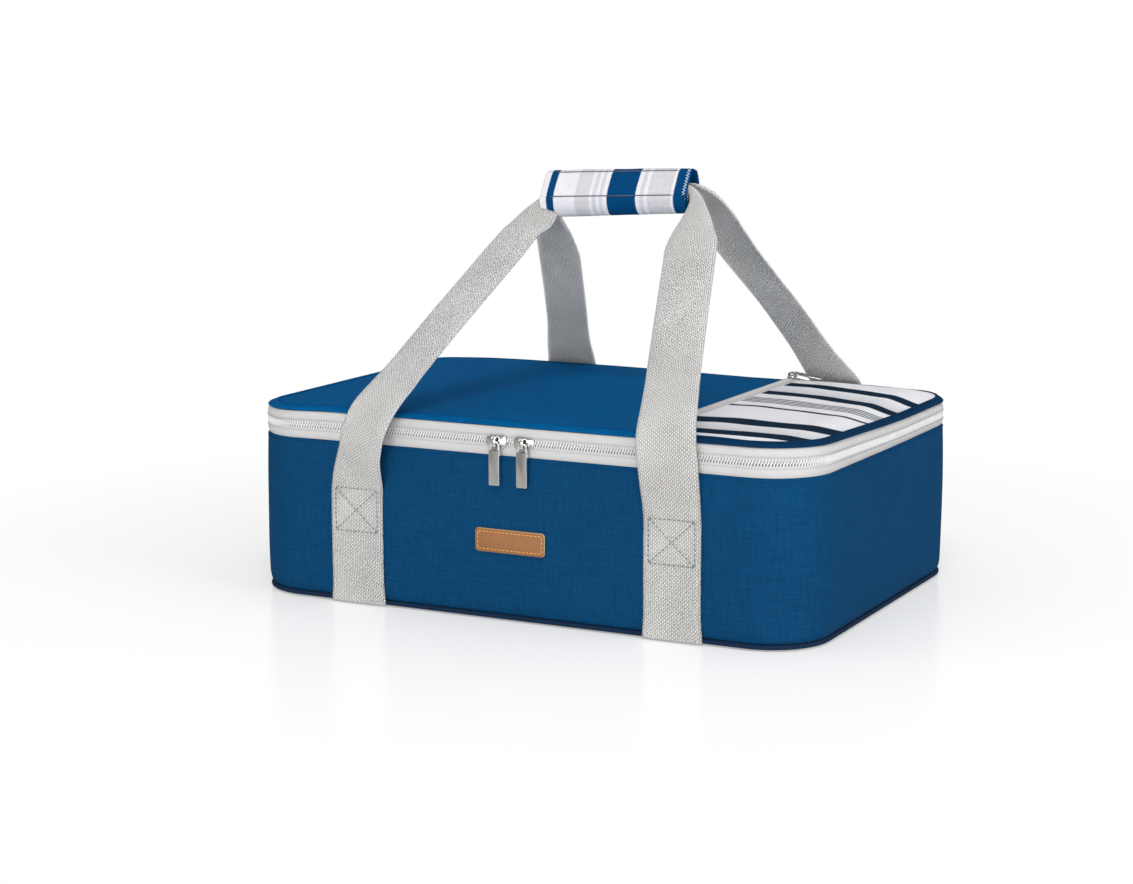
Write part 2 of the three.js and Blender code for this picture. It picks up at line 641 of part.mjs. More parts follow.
function wrapPoint(angleDegrees, outset) {
  const angle = THREE.MathUtils.degToRad(angleDegrees);
  const bend = (value) => Math.sign(value) * Math.abs(value) ** WRAP_SQUARENESS;
  const y = (WRAP_HALF_DEPTH + outset) * bend(Math.cos(angle));
  const z = (WRAP_HALF_HEIGHT + outset) * bend(Math.sin(angle));
  return [y, z];
}

function wrapArc(fromAngle, toAngle, outset) {
  const steps = Math.max(1, Math.round(Math.abs(toAngle - fromAngle) / WRAP_STEP_ANGLE));
  const stepAngle = (toAngle - fromAngle) / steps;
  return Array.from({ length: steps + 1 }, (_, i) => wrapPoint(fromAngle + stepAngle * i, outset));
}

function alongWrap(outline, length) {
  const ring = (x) => outline.map(([y, z]) => new THREE.Vector3(GRIP_OFFSET_X + x, y, GRIP_Z + z));
  return loft([ring(-length / 2), ring(length / 2)]);
}

function wrapBand(fromAngle, toAngle, outsetA, outsetB, length) {
  const outer = wrapArc(fromAngle, toAngle, outsetB);
  const inner = wrapArc(toAngle, fromAngle, outsetA);
  return alongWrap([...outer, ...inner], length);
}

function addWrap() {
  const half = WRAP_HALF_HEIGHT;
  const seamAngle = THREE.MathUtils.radToDeg(GAP / half);
  const bottom = -90;
  const hookOut = GAP + FASTENER + GAP;
  const tongueIn = hookOut + FASTENER + GAP;
  const tongueOut = tongueIn + TONGUE;
  const lapStart = bottom + 2 * WRAP_STEP_ANGLE;
  const fastenerStart = bottom - seamAngle * 2;
  const fastenerEnd = TONGUE_ANGLE + seamAngle * 2;
  const front = wrapBand(WRAP_HINGE_ANGLE + seamAngle, 270 - seamAngle, -WRAP_THICKNESS, 0, WRAP_LENGTH);
  const flap = alongWrap([
    ...wrapArc(WRAP_HINGE_ANGLE - seamAngle, lapStart + WRAP_STEP_ANGLE, 0),
    ...wrapArc(lapStart, TONGUE_ANGLE, tongueOut),
    ...wrapArc(TONGUE_ANGLE, bottom, tongueIn),
    ...wrapArc(bottom + seamAngle, WRAP_HINGE_ANGLE - seamAngle, -WRAP_THICKNESS),
  ], WRAP_LENGTH);
  addPiece(carrier, 'wrap_front_half', front, 'stripes');
  addPiece(carrier, 'wrap_flap', flap, 'stripes');
  const strip = (outset) => wrapBand(fastenerStart, fastenerEnd, outset, outset + FASTENER, FASTENER_LENGTH);
  addPiece(carrier, 'wrap_loop_strip', strip(GAP), 'navyCloth');
  addPiece(carrier, 'wrap_hook_strip', strip(hookOut), 'navyCloth');
}

function addLabel() {
  const shape = roundedRectangle(LABEL_LENGTH, LABEL_HEIGHT, LABEL_CORNER);
  const label = addPiece(carrier, 'label_patch', plate(shape, 0, LABEL_THICKNESS), 'leather');
  label.rotation.x = Math.PI / 2;
  label.position.set(0, -STRAP_FACE, LABEL_Z);
}

addTub();
addMainZip();
addMainSlider('left', -1);
addMainSlider('right', 1);
addLid();
addPocket();
addHandle('front', -1);
addHandle('rear', 1);
addWrap();
addLabel();

export default carrier;
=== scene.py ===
import math

import bmesh
import bpy
import numpy as np
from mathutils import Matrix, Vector


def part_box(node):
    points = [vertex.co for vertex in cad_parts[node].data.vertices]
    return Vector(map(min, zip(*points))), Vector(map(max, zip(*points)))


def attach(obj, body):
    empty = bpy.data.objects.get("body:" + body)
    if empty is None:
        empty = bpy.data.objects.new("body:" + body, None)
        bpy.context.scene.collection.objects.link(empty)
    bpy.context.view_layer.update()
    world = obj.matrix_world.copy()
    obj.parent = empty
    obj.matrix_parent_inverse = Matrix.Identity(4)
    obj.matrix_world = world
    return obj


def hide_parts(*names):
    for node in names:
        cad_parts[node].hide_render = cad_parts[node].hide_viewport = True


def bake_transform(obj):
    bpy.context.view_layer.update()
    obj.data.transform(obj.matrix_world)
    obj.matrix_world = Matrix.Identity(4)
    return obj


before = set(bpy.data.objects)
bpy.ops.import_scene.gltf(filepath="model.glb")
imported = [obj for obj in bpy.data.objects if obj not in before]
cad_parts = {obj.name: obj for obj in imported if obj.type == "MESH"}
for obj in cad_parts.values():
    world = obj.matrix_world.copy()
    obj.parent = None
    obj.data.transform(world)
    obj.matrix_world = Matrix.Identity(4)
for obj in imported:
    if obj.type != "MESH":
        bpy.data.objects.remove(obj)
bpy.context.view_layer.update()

# Lengths are in millimetres until a mesh is made.
MM = 0.001
TAU = 2 * math.pi


def cad_box(node):
    low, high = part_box(node)
    return np.array(low) / MM, np.array(high) / MM


UP = np.array([0.0, 0.0, 1.0])
FRONT = np.array([0.0, -1.0, 0.0])
RIGHT = np.array([1.0, 0.0, 0.0])
QUARTERS = ((-1, -1), (1, -1), (1, 1), (-1, 1))
HALF_X, HALF_Y, WALL_TOP = cad_box("outer_wall")[1]
CORNER = 42.0
RIM_Z = cad_box("upper_zip_tape")[1][2]
COIL_Z = (WALL_TOP + RIM_Z) / 2
ZIP_END = 140.0
TOOTH_PITCH = 2.0
POCKET_TOOTH_PITCH = 0.75
GROOVE_SHADE_AT = 10.6
LINING_FLOOR = 11.5
SWELL = 0.9
STRAP_X = 115.0
STRAP_WIDTH = 40.0
STRAP_THICK = 1.8
STITCH_TOP = 80.0
BOX_STITCH_Z = 64.0
WEB_ROW = 1.2
WEB_CORD = 1.3


# Form helpers.

def smooth(value, low, high):
    t = np.clip((np.asarray(value, float) - low) / (high - low), 0.0, 1.0)
    return t * t * (3 - 2 * t)


def unit(vectors):
    vectors = np.asarray(vectors, float)
    size = np.linalg.norm(vectors, axis=-1, keepdims=True)
    return vectors / np.maximum(size, 1e-9)


def rounded(value, power):
    """A sine or cosine raised to a power with its sign kept, for rounded outlines."""
    return np.sign(value) * np.abs(value) ** power


def ripple(a, b, wave, seed):
    """A smooth, repeatable unevenness between about -1 and 1 over a plane."""
    total = 0.0
    for k in range(5):
        angle = seed * 1.7 + k * 2.39
        size = TAU / (wave * (0.62 + 0.21 * k))
        total = total + np.sin((a * math.cos(angle) + b * math.sin(angle)) * size + seed * 3.1 + k * 1.9)
    return total / 3.2


def sagged(points, whole=False):
    """The soft box gives at its rear edge and at its ends, where only cloth holds the rim up."""
    points = np.array(points, float)
    x, y, z = points[..., 0], points[..., 1], points[..., 2]
    lift = 1.0 if whole else smooth(z, 98.0, 127.0)
    right = smooth(y, -150.0, 50.0) * (1.7 * smooth(x, 112.0, 196.0) + 3.5 * smooth(x, 178.0, 206.0))
    left = 1.8 * smooth(-x, 130.0, 200.0)
    rear = (3.4 + 2.4 * smooth(x, -80.0, 130.0)) * smooth(y, 106.0, 147.0)
    points[..., 2] -= lift * (rear + (right + left) * (1 - rear / 6.6))
    return points


class Shape:
    """Gathers vertices, faces and one cloth coordinate for each face corner."""

    def __init__(self):
        self.points = []
        self.faces = []
        self.coords = []
        self.count = 0

    def add(self, points, faces, coords):
        points = np.asarray(points, float).reshape(-1, 3)
        self.points.append(points)
        self.faces.extend([[self.count + i for i in face] for face in faces])
        self.coords.extend(coords)
        self.count += len(points)

    def join(self, other):
        """Adds another gathered shape to this one."""
        self.add(np.concatenate(other.points), other.faces, other.coords)

    def grid(self, points, u, v, wrap_u=False, wrap_v=False, caps=False):
        """points is (columns, rows, 3); u and v have one more entry where they wrap."""
        columns, rows = np.shape(points)[:2]
        faces = []
        coords = []
        for i in range(columns if wrap_u else columns - 1):
            i2 = (i + 1) % columns
            for j in range(rows if wrap_v else rows - 1):
                j2 = (j + 1) % rows
                faces.append((i * rows + j, i2 * rows + j, i2 * rows + j2, i * rows + j2))
                coords += [(u[i], v[j]), (u[i + 1], v[j]), (u[i + 1], v[j + 1]), (u[i], v[j + 1])]
        if caps:
            last = (columns - 1) * rows
            faces += [range(rows), range(last + rows - 1, last - 1, -1)]
            coords += [(u[0], v[j]) for j in range(rows)]
            coords += [(u[-1], v[j]) for j in reversed(range(rows))]
        self.add(points, faces, coords)

    def tube(self, loops, u, v):
        """A closed body from a row of loops."""
        self.grid(loops, u, v, wrap_v=True, caps=True)

    def make(self, name, material, body, replaces=(), slot=None, sharp=42.0):
        mesh = bpy.data.meshes.new(name)
        mesh.from_pydata((np.concatenate(self.points) * MM).tolist(), [], self.faces)
        layer = mesh.uv_layers.new(name="cloth")
        layer.data.foreach_set("uv", (np.asarray(self.coords, float) * MM).ravel())
        mesh.validate()
        probe = bmesh.new()
        probe.from_mesh(mesh)
        if probe.calc_volume(signed=True) < 0:
            mesh.flip_normals()
        probe.free()
        mesh.materials.append(material)
        mesh.polygons.foreach_set("use_smooth", [True] * len(mesh.polygons))
        mesh.set_sharp_from_angle(angle=math.radians(sharp))
        mesh.update()
        piece = bpy.data.objects.new(name, mesh)
        bpy.context.scene.collection.objects.link(piece)
        if body:
            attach(piece, body)
        if replaces:
            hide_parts(*replaces)
        return piece


def lengths(points):
    points = np.asarray(points, float)
    steps = np.linalg.norm(np.diff(points, axis=0), axis=1)
    return np.concatenate([[0.0], np.cumsum(steps)])


def read_off(values, run, at):
    """Values that are known along a run, read off at other places along it."""
    return np.stack([np.interp(at, run, column) for column in np.asarray(values, float).T], axis=-1)


def resample(points, step):
    """The same line with evenly spaced points."""
    run = lengths(points)
    count = max(2, int(round(run[-1] / step)) + 1)
    return read_off(points, run, np.linspace(0, run[-1], count))


def at_height(path, height=0.0):
    """A line on the plan, set at one height."""
    return np.column_stack([path, np.full(len(path), height)])


def tangents(points):
    return unit(np.gradient(np.asarray(points, float), axis=0))


# Plan outlines of the box, from the rear round the left side to the front, and on round the right side.

def plan_path(inset, rear_from=0.0, rear_to=0.0, step=9.0, turns=14, front_to=None):
    """Points and outward directions round the plan; front_to ends the run part of the way along the front."""
    radius = max(CORNER - inset, 6.0)
    cx = HALF_X - inset - radius
    cy = HALF_Y - inset - radius
    side = cx + radius
    end = cy + radius
    rows = []

    def line(start, finish, outward, count):
        start = np.array(start)
        rows.extend([(*(start + (finish - start) * t / count), *outward) for t in range(count)])

    def arc(x, y, start):
        for a in start + (math.pi / 2) * np.arange(turns) / turns:
            c, s = math.cos(a), math.sin(a)
            rows.append((x + radius * c, y + radius * s, c, s))

    long_count = int(round(2 * (HALF_X - CORNER) / step))
    short_count = int(round(2 * (HALF_Y - CORNER) / step))
    rear_count = max(2, int(round(abs(HALF_X - CORNER + rear_from) / step)))
    line((rear_from, end), (-cx, end), (0, 1), rear_count)
    arc(-cx, cy, math.pi / 2)
    line((-side, cy), (-side, -cy), (-1, 0), short_count)
    arc(-cx, -cy, math.pi)
    if front_to is not None:
        line((-cx, -end), (front_to, -end), (0, -1), long_count)
        rows.append((front_to, -end, 0, -1))
    else:
        line((-cx, -end), (cx, -end), (0, -1), long_count)
        arc(cx, -cy, 1.5 * math.pi)
        line((side, -cy), (side, cy), (1, 0), short_count)
        arc(cx, cy, 0.0)
        line((cx, end), (rear_to, end), (0, 1), rear_count)
        if rear_from != rear_to:
            rows.append((rear_to, end, 0, 1))
    return np.hsplit(np.array(rows, float), 2)


def sweep(profile, rear_from=0.0, rear_to=0.0, closed_profile=True, swell=None, step=9.0, turns=14,
          front_to=None, whole=False, beyond=-math.inf):
    """Carries (inset, height) pairs round the plan of the box, or only round its end beyond one x."""
    plan = (rear_from, rear_to, step, turns, front_to)
    reference, outward = plan_path(0.0, *plan)
    keep = reference[:, 0] > beyond
    closed_run = rear_from == rear_to and front_to is None and bool(keep.all())
    run = lengths(at_height(reference[keep]))
    if closed_run:
        run = np.append(run, run[-1] + np.linalg.norm(reference[0] - reference[-1]))
    rows = []
    for index, (inset, height) in enumerate(profile):
        point = at_height(plan_path(inset, *plan)[0][keep], height)
        if swell is not None:
            point[:, :2] += outward * swell(index, run[: len(point)], height)[:, None]
        rows.append(point)
    v = lengths(at_height(profile))
    if closed_profile:
        v = np.append(v, v[-1] + math.dist(profile[0], profile[-1]))
    shape = Shape()
    points = sagged(np.stack(rows, axis=1), whole)
    shape.grid(points, run, v, closed_run, closed_profile, caps=not closed_run and closed_profile)
    return shape


def circle_profile(inset, height, radius, count, squash=1.0):
    angles = np.linspace(TAU, 0, count, endpoint=False)
    return [(inset + radius * squash * math.cos(a), height + radius * math.sin(a)) for a in angles]


def ribbon(shape, centre, across, normal, half_width, half_thick, columns, power, ribs=0.0, cup=0.0):
    """A flat woven band carried along a line. Ribs stand on its faces, and cup curls it."""
    side = np.linspace(-1, 1, columns)
    edge = (1 - np.abs(side) ** power) ** 0.5
    edge[[0, -1]] = 0.0
    place = np.concatenate([side, side[-2:0:-1]])
    height = np.concatenate([edge, -edge[-2:0:-1]])
    run = lengths(centre)
    rib = ribs * np.cos(TAU * run / WEB_ROW)
    width, thick, cup = (np.broadcast_to(size, len(run))[:, None] for size in (half_width, half_thick, cup))
    rise = (thick + rib[:, None] * np.abs(height)) * height + cup * (0.4 - place ** 2)
    points = centre[:, None] + across[:, None] * (width * place)[..., None]
    points = points + normal[:, None] * rise[..., None]
    v = np.append(place, place[0]) * STRAP_WIDTH / 2
    shape.tube(points, run, v)


def bar(shape, path, across, normal, half_width, half_thick, count, power):
    """A rounded bar with a superellipse section, for metal fittings, cords and bindings."""
    path, across, normal = (row[:, None] for row in np.broadcast_arrays(path, across, normal))
    angles = np.linspace(0, TAU, count, endpoint=False)
    a = half_width * rounded(np.cos(angles), 2 / power)
    b = half_thick * rounded(np.sin(angles), 2 / power)
    points = path + across * a[:, None] + normal * b[:, None]
    shape.tube(points, lengths(path[:, 0]), np.linspace(0, 8, count + 1))


def cord(shape, line, facing, half_width, half_thick, count, power):
    """A bar along a line that turns one side towards a fixed direction."""
    along = tangents(line)
    side = unit(np.cross(along, facing))
    bar(shape, line, side, np.cross(side, along), half_width, half_thick, count, power)


def capsule(shape, centre, along, normal, length, width, height):
    """One thread of a seam, or one tooth of a zip: a short rounded grain."""
    along = unit(along)
    normal = unit(normal)
    side = np.cross(along, normal)
    points = [centre - along * 0.5 * length]
    for at, size in ((-0.42, 0.72), (-0.2, 1.0), (0.2, 1.0), (0.42, 0.72)):
        for a in np.arange(6) * TAU / 6:
            over = side * math.cos(a) * size * width / 2 + normal * math.sin(a) * size * height / 2
            points.append(centre + along * at * length + over)
    points.append(centre + along * 0.5 * length)
    faces = []
    for k in range(6):
        k2 = (k + 1) % 6
        faces.append((0, 1 + k2, 1 + k))
        for low in (1, 7, 13):
            faces.append((low + k, low + k2, low + 6 + k2, low + 6 + k))
        faces.append((25, 19 + k, 19 + k2))
    shape.add(points, faces, [(0.0, 0.0)] * sum(map(len, faces)))


def stitch_row(shape, line, normals, length, gap, width, lift=0.1):
    """Threads laid end to end along a line on a surface."""
    run = lengths(line)
    count = max(1, int(run[-1] / (length + gap)))
    pitch = run[-1] / count
    normals = np.broadcast_to(np.asarray(normals, float), line.shape)
    for k in range(count):
        start = k * pitch + gap / 2
        first, last = read_off(line, run, [start, start + pitch - gap])
        up = read_off(normals, run, start + pitch / 2)
        middle = (first + last) / 2 + unit(up) * lift
        capsule(shape, middle, last - first, up, np.linalg.norm(last - first), width, width * 0.8)


# Materials.

class Finish:
    """A material being put together from its nodes."""

    def __init__(self, name, colour, roughness, metallic=0.0, sheen=0.0, specular=0.35):
        self.material = bpy.data.materials.new(name)
        self.material.use_nodes = True
        self.nodes = self.material.node_tree.nodes
        self.shader = self.nodes["Principled BSDF"]
        self.set("Base Color", (*colour, 1.0))
        self.set("Roughness", roughness)
        self.set("Metallic", metallic)
        self.set("Specular IOR Level", specular)
        if sheen:
            self.set("Sheen Weight", sheen)
            self.set("Sheen Roughness", 0.45)

    def put(self, value, socket):
        if isinstance(value, bpy.types.NodeSocket):
            self.material.node_tree.links.new(value, socket)
        else:
            socket.default_value = value

    def set(self, name, value):
        self.put(value, self.shader.inputs[name])

    def node(self, kind, inputs=None, **settings):
        """A new node with its settings, and with values or sockets for some of its inputs."""
        node = self.nodes.new(kind)
        for key, value in settings.items():
            setattr(node, key, value)
        for key, value in (inputs or {}).items():
            self.put(value, node.inputs[key])
        return node

    def math(self, operation, *values):
        return self.node("ShaderNodeMath", dict(enumerate(values)), operation=operation).outputs[0]

    def add(self, a, b):
        return self.math("ADD", a, b)

    def times(self, a, b):
        return self.math("MULTIPLY", a, b)

    def size(self, a):
        return self.math("ABSOLUTE", a)

    def swung(self, value, source, middle, amount):
        """The value, raised and lowered by a source that varies about its middle."""
        return self.add(value, self.times(self.math("SUBTRACT", source, middle), amount))

    def mix(self, factor, a, b, **settings):
        a, b = ((*value, 1.0) if isinstance(value, tuple) else value for value in (a, b))
        inputs = {"Factor": factor, 6: a, 7: b}
        return self.node("ShaderNodeMix", inputs, data_type="RGBA", **settings).outputs[2]

    def axes(self, vector):
        self.vector = vector
        self.u, self.v = self.node("ShaderNodeSeparateXYZ", {0: vector}).outputs[:2]
        return self.u, self.v

    def cloth_axes(self):
        return self.axes(self.node("ShaderNodeUVMap", uv_map="cloth").outputs[0])

    def solid_axes(self):
        return self.axes(self.node("ShaderNodeTexCoord").outputs["Object"])

    def facing(self):
        """How far the surface faces along each axis."""
        normal = self.node("ShaderNodeTexCoord").outputs["Normal"]
        return [self.size(part) for part in self.node("ShaderNodeSeparateXYZ", {0: normal}).outputs]

    def noise(self, scale, detail, stretch=(1.0, 1.0, 1.0)):
        mapping = self.node("ShaderNodeMapping", {"Vector": self.vector, "Scale": stretch})
        inputs = {"Vector": mapping.outputs[0], "Scale": scale, "Detail": detail, "Roughness": 0.55}
        return self.node("ShaderNodeTexNoise", inputs).outputs["Fac"]

    def yarn(self, scale, fine, wide):
        """Uneven threads that run both ways."""
        return self.add(self.noise(scale, 2.0, (fine, wide, 1.0)), self.noise(scale, 2.0, (wide, fine, 1.0)))

    def cells(self, feature, scale):
        inputs = {"Vector": self.vector, "Scale": scale}
        return self.node("ShaderNodeTexVoronoi", inputs, feature=feature).outputs["Distance"]

    def wave(self, axis, pitch):
        return self.math("SINE", self.times(axis, TAU / (pitch * MM)))

    def weave(self, pitch):
        return self.times(self.wave(self.u, pitch), self.wave(self.v, pitch))

    def ramp(self, factor, low, high, to_low=0.0, to_high=1.0):
        inputs = {"Value": factor, "From Min": low, "From Max": high, "To Min": to_low, "To Max": to_high}
        return self.node("ShaderNodeMapRange", inputs).outputs[0]

    def bump(self, height, distance, strength=1.0):
        inputs = {"Strength": strength, "Distance": distance, "Height": height}
        self.set("Normal", self.node("ShaderNodeBump", inputs).outputs[0])

    def colour(self, socket):
        self.set("Base Color", socket)

    def roughness(self, source, low, high, over=(0.3, 0.7)):
        self.set("Roughness", self.ramp(source, *over, low, high))


def tones(colour, *factors):
    """Darker and lighter versions of a colour."""
    return [tuple(min(1.0, c * factor) for c in colour) for factor in factors]


def rgb(red, green, blue):
    """Linear colour from display values of 0 to 255."""
    out = []
    for value in (red, green, blue):
        c = value / 255
        out.append(c / 12.92 if c <= 0.04045 else ((c + 0.055) / 1.055) ** 2.4)
    return tuple(out)


def woven(name, colour, pitch=1.0, solid=False, gloss=0.12):
    """Plain-woven cloth: crossing threads, uneven yarn and slow changes of tone."""
    f = Finish(name, colour, 0.9, specular=gloss)
    if solid:
        f.solid_axes()
    else:
        f.cloth_axes()
    weave = f.weave(pitch * 2)
    yarn = f.yarn(260.0, 0.22, 2.6)
    value = f.math("MULTIPLY_ADD", weave, 0.15, 0.5)
    value = f.swung(value, yarn, 1.0, 0.9)
    value = f.swung(value, f.noise(16.0, 3.0), 0.5, 0.35)
    f.colour(f.mix(value, *tones(colour, 0.7, 1.3)))
    f.roughness(yarn, 0.82, 0.98, over=(0.7, 1.3))
    f.bump(f.add(f.times(weave, 0.5), yarn), 0.0002)
    return f.material


BLUE = rgb(9, 56, 91)
LID_BLUE = rgb(1, 77, 127)
NAVY = rgb(14, 34, 58)
STRIPE_BLUE = rgb(3, 60, 104)
STRIPE_NAVY = rgb(12, 36, 56)
WHITE = rgb(229, 229, 233)
PALE_GREY = rgb(205, 205, 209)
WRAP_WHITE = rgb(210, 210, 214)
WRAP_GREY = rgb(189, 189, 193)
TAPE_WHITE = rgb(204, 203, 202)
WEB_LIGHT = rgb(228, 227, 224)
WEB_GAP_SHADE = rgb(72, 71, 70)
THREAD_GREY = rgb(98, 102, 106)


def webbing_material():
    """Heavy plain-woven webbing: cords crossing over and under, with painted shade in the gaps between cords,
    a painted highlight on the cord crests, and a bound selvedge.
    """
    f = Finish("grey_webbing", WEB_LIGHT, 0.88, specular=0.08)
    u, v = f.cloth_axes()
    jitter = f.noise(140.0, 2.0)
    rows = f.wave(f.swung(u, jitter, 0.5, MM), 2 * WEB_ROW)
    cords = f.wave(f.swung(v, jitter, 0.5, MM), 2 * WEB_CORD)
    cross = f.times(rows, cords)
    gap = f.ramp(f.times(f.size(rows), f.size(cords)), 0.0, 0.5)
    ridge = f.ramp(f.size(cords), 0.0, 0.7)
    fuzz = f.noise(700.0, 2.0)
    # The dark between the cords is painted shade and the lighter cord crests are a painted highlight; the
    # bump gives the same relief.
    value = f.math("MULTIPLY_ADD", cross, 0.26, 0.2)
    value = f.add(value, f.times(gap, 0.22))
    value = f.add(value, f.times(ridge, 0.3))
    value = f.swung(value, fuzz, 0.5, 0.5)
    value = f.swung(value, f.noise(24.0, 3.0), 0.5, 0.35)
    selvedge = f.ramp(f.size(v), 19.2 * MM, 19.6 * MM)
    f.colour(f.mix(selvedge, f.mix(value, WEB_GAP_SHADE, WEB_LIGHT), rgb(204, 204, 202)))
    f.set("Subsurface Weight", 0.9)
    f.set("Subsurface Radius", (1.0, 1.0, 1.0))
    f.set("Subsurface Scale", 0.006)
    relief = f.add(f.times(f.add(gap, cross), 0.6), ridge)
    f.bump(f.add(relief, f.times(fuzz, 0.5)), 0.0004)
    f.roughness(fuzz, 0.8, 0.95)
    return f.material


def tape_material(name, groove_shade_at=None):
    """Zip tape: a fine white twill, with a band of painted shade, mid grey, along the channel that holds the
    teeth.
    """
    f = Finish(name, TAPE_WHITE, 0.85, specular=0.1)
    u, v = f.cloth_axes()
    twill = f.wave(f.add(u, f.times(v, 1.6)), 1.1)
    tone = f.noise(40.0, 3.0)
    fuzz = f.noise(600.0, 2.0)
    value = f.math("MULTIPLY_ADD", twill, 0.12, 0.55)
    value = f.swung(value, tone, 0.5, 0.3)
    value = f.swung(value, fuzz, 0.5, 0.3)
    cloth = f.mix(value, *tones(TAPE_WHITE, 0.86, 1.06))
    # A mid-grey band of painted shade where the teeth sit, standing in for the shadow between them.
    if groove_shade_at:
        inside = f.ramp(v, (groove_shade_at - 0.35) * MM, (groove_shade_at + 0.35) * MM)
        cloth = f.mix(inside, cloth, rgb(112, 113, 116))
    f.colour(cloth)
    f.bump(f.add(twill, fuzz), 0.00014)
    f.roughness(tone, 0.78, 0.92)
    return f.material


def grained(name, colour, dark_light, scale, detail, rough, depth=0.0, **finish):
    """A material with one fine grain, which sets its colour, its roughness and its relief."""
    f = Finish(name, colour, **finish)
    f.solid_axes()
    grain = f.noise(scale, detail)
    f.colour(f.mix(grain, *dark_light))
    f.roughness(grain, *rough)
    if depth:
        f.bump(grain, depth)
    return f.material


def thread_material(name, colour, sheen=0.2):
    """Twisted sewing thread."""
    look = dict(roughness=0.7, sheen=sheen, specular=sheen)
    return grained(name, colour, tones(colour, 0.78, 1.2), 1500.0, 2.0, (0.6, 0.8), 0.00015, **look)


def chrome_material():
    """Plated metal: brushed nickel on the broad faces, with a painted near-white highlight on the edges and
    sides.
    """
    f = Finish("plated_nickel", rgb(150, 150, 150), 0.2, metallic=1.0)
    f.solid_axes()
    marks = f.noise(220.0, 4.0, (1.0, 1.0, 0.25))
    haze = f.noise(45.0, 3.0)
    _, deep, high = f.facing()
    broad = f.ramp(f.math("MAXIMUM", deep, high), 0.8, 0.97)
    f.roughness(f.add(marks, haze), 0.1, 0.26, over=(0.75, 1.25))
    brushed = f.mix(haze, rgb(146, 145, 142), rgb(168, 167, 164))
    # Faces that point neither to the front nor up get a painted highlight of near white in place of the
    # brushed tone.
    f.colour(f.mix(broad, rgb(240, 240, 240), brushed))
    f.bump(marks, 0.00003)
    return f.material


def leather_material():
    """Tan leather: pebbled grain, uneven dye and a paler cut edge."""
    tan = rgb(133, 90, 55)
    f = Finish("tan_leather", tan, 0.55, specular=0.25)
    f.solid_axes()
    pores = f.noise(520.0, 4.0)
    dye = f.add(f.times(f.noise(60.0, 4.0), 0.7), f.times(pores, 0.3))
    skin = f.mix(dye, *tones(tan, 0.74, 1.22))
    cut = f.ramp(f.facing()[1], 0.55, 0.9, 1.0, 0.0)
    f.colour(f.mix(cut, skin, rgb(206, 174, 132)))
    f.roughness(pores, 0.46, 0.66)
    f.bump(f.add(f.cells("F1", 900.0), pores), 0.00022)
    return f.material


def foil_material():
    """Aluminised lining film, crinkled over its foam."""
    f = Finish("foil_lining", rgb(205, 207, 210), 0.32, metallic=0.85)
    f.solid_axes()
    crinkle = f.noise(140.0, 2.0)
    f.roughness(crinkle, 0.3, 0.46)
    f.colour(f.mix(crinkle, rgb(170, 173, 177), rgb(222, 223, 225)))
    f.bump(f.add(f.cells("DISTANCE_TO_EDGE", 95.0), f.times(crinkle, 0.6)), 0.0007, 0.5)
    return f.material


def foam_material(name, colour, scale):
    """Cut closed-cell foam or pressed board, with its open grain."""
    return grained(name, colour, tones(colour, 0.75, 1.15), scale, 4.0, (0.86, 0.96), 0.0004, roughness=0.92)


def pile_material(name, colour, scale):
    """The fuzzy or hooked face of a touch fastener."""
    look = dict(roughness=0.95, sheen=0.5)
    return grained(name, colour, tones(colour, 0.6, 1.35), scale, 3.0, (0.88, 0.98), 0.0008, **look)


def striped(name, stops, axis, lines=None):
    """Woven stripes. stops is a row of (place, colour) across the cloth; lines adds a group of hairlines."""
    f = Finish(name, WHITE, 0.88, specular=0.03)
    u, v = f.cloth_axes()
    across = f.swung(u if axis == "u" else v, f.noise(420.0, 2.0), 0.5, 0.5 * MM)
    start = stops[0][0]
    length = stops[-1][0] - start
    place = f.math("DIVIDE", f.math("SUBTRACT", across, start * MM), length * MM)
    node = f.node("ShaderNodeValToRGB", {0: place})
    marks = node.color_ramp.elements
    while len(marks) < len(stops):
        marks.new(1.0)
    for mark, (at, colour) in zip(marks, stops):
        mark.position = (at - start) / length
        mark.color = (*colour, 1.0)
    base = node.outputs[0]
    if lines:
        low, high, pitch, colour = lines
        inside = f.times(f.math("GREATER_THAN", across, low * MM), f.math("LESS_THAN", across, high * MM))
        thread = f.math("GREATER_THAN", f.wave(f.math("SUBTRACT", across, low * MM), pitch), 0.35)
        base = f.mix(f.times(inside, thread), base, colour)
    weave = f.weave(1.5)
    yarn = f.yarn(300.0, 0.25, 2.4)
    value = f.math("MULTIPLY_ADD", weave, 0.1, 0.6)
    value = f.swung(value, yarn, 1.0, 0.7)
    value = f.swung(value, f.noise(30.0, 3.0), 0.5, 0.3)
    tint = f.mix(value, (0.8, 0.8, 0.82), (1.0, 1.0, 1.0))
    f.colour(f.mix(1.0, base, tint, blend_type="MULTIPLY"))
    f.roughness(yarn, 0.8, 0.94, over=(0.7, 1.3))
    f.bump(f.add(f.times(weave, 0.5), yarn), 0.0002)
    return f.material


def bands(*rows):
    """Stops for crisp stripes from rows of (start, end, colour) or (start, end, colour, end colour)."""
    stops = []
    for row in rows:
        stops.append((row[0] + 0.25, row[2]))
        stops.append((row[1] - 0.25, row[-1]))
    return stops


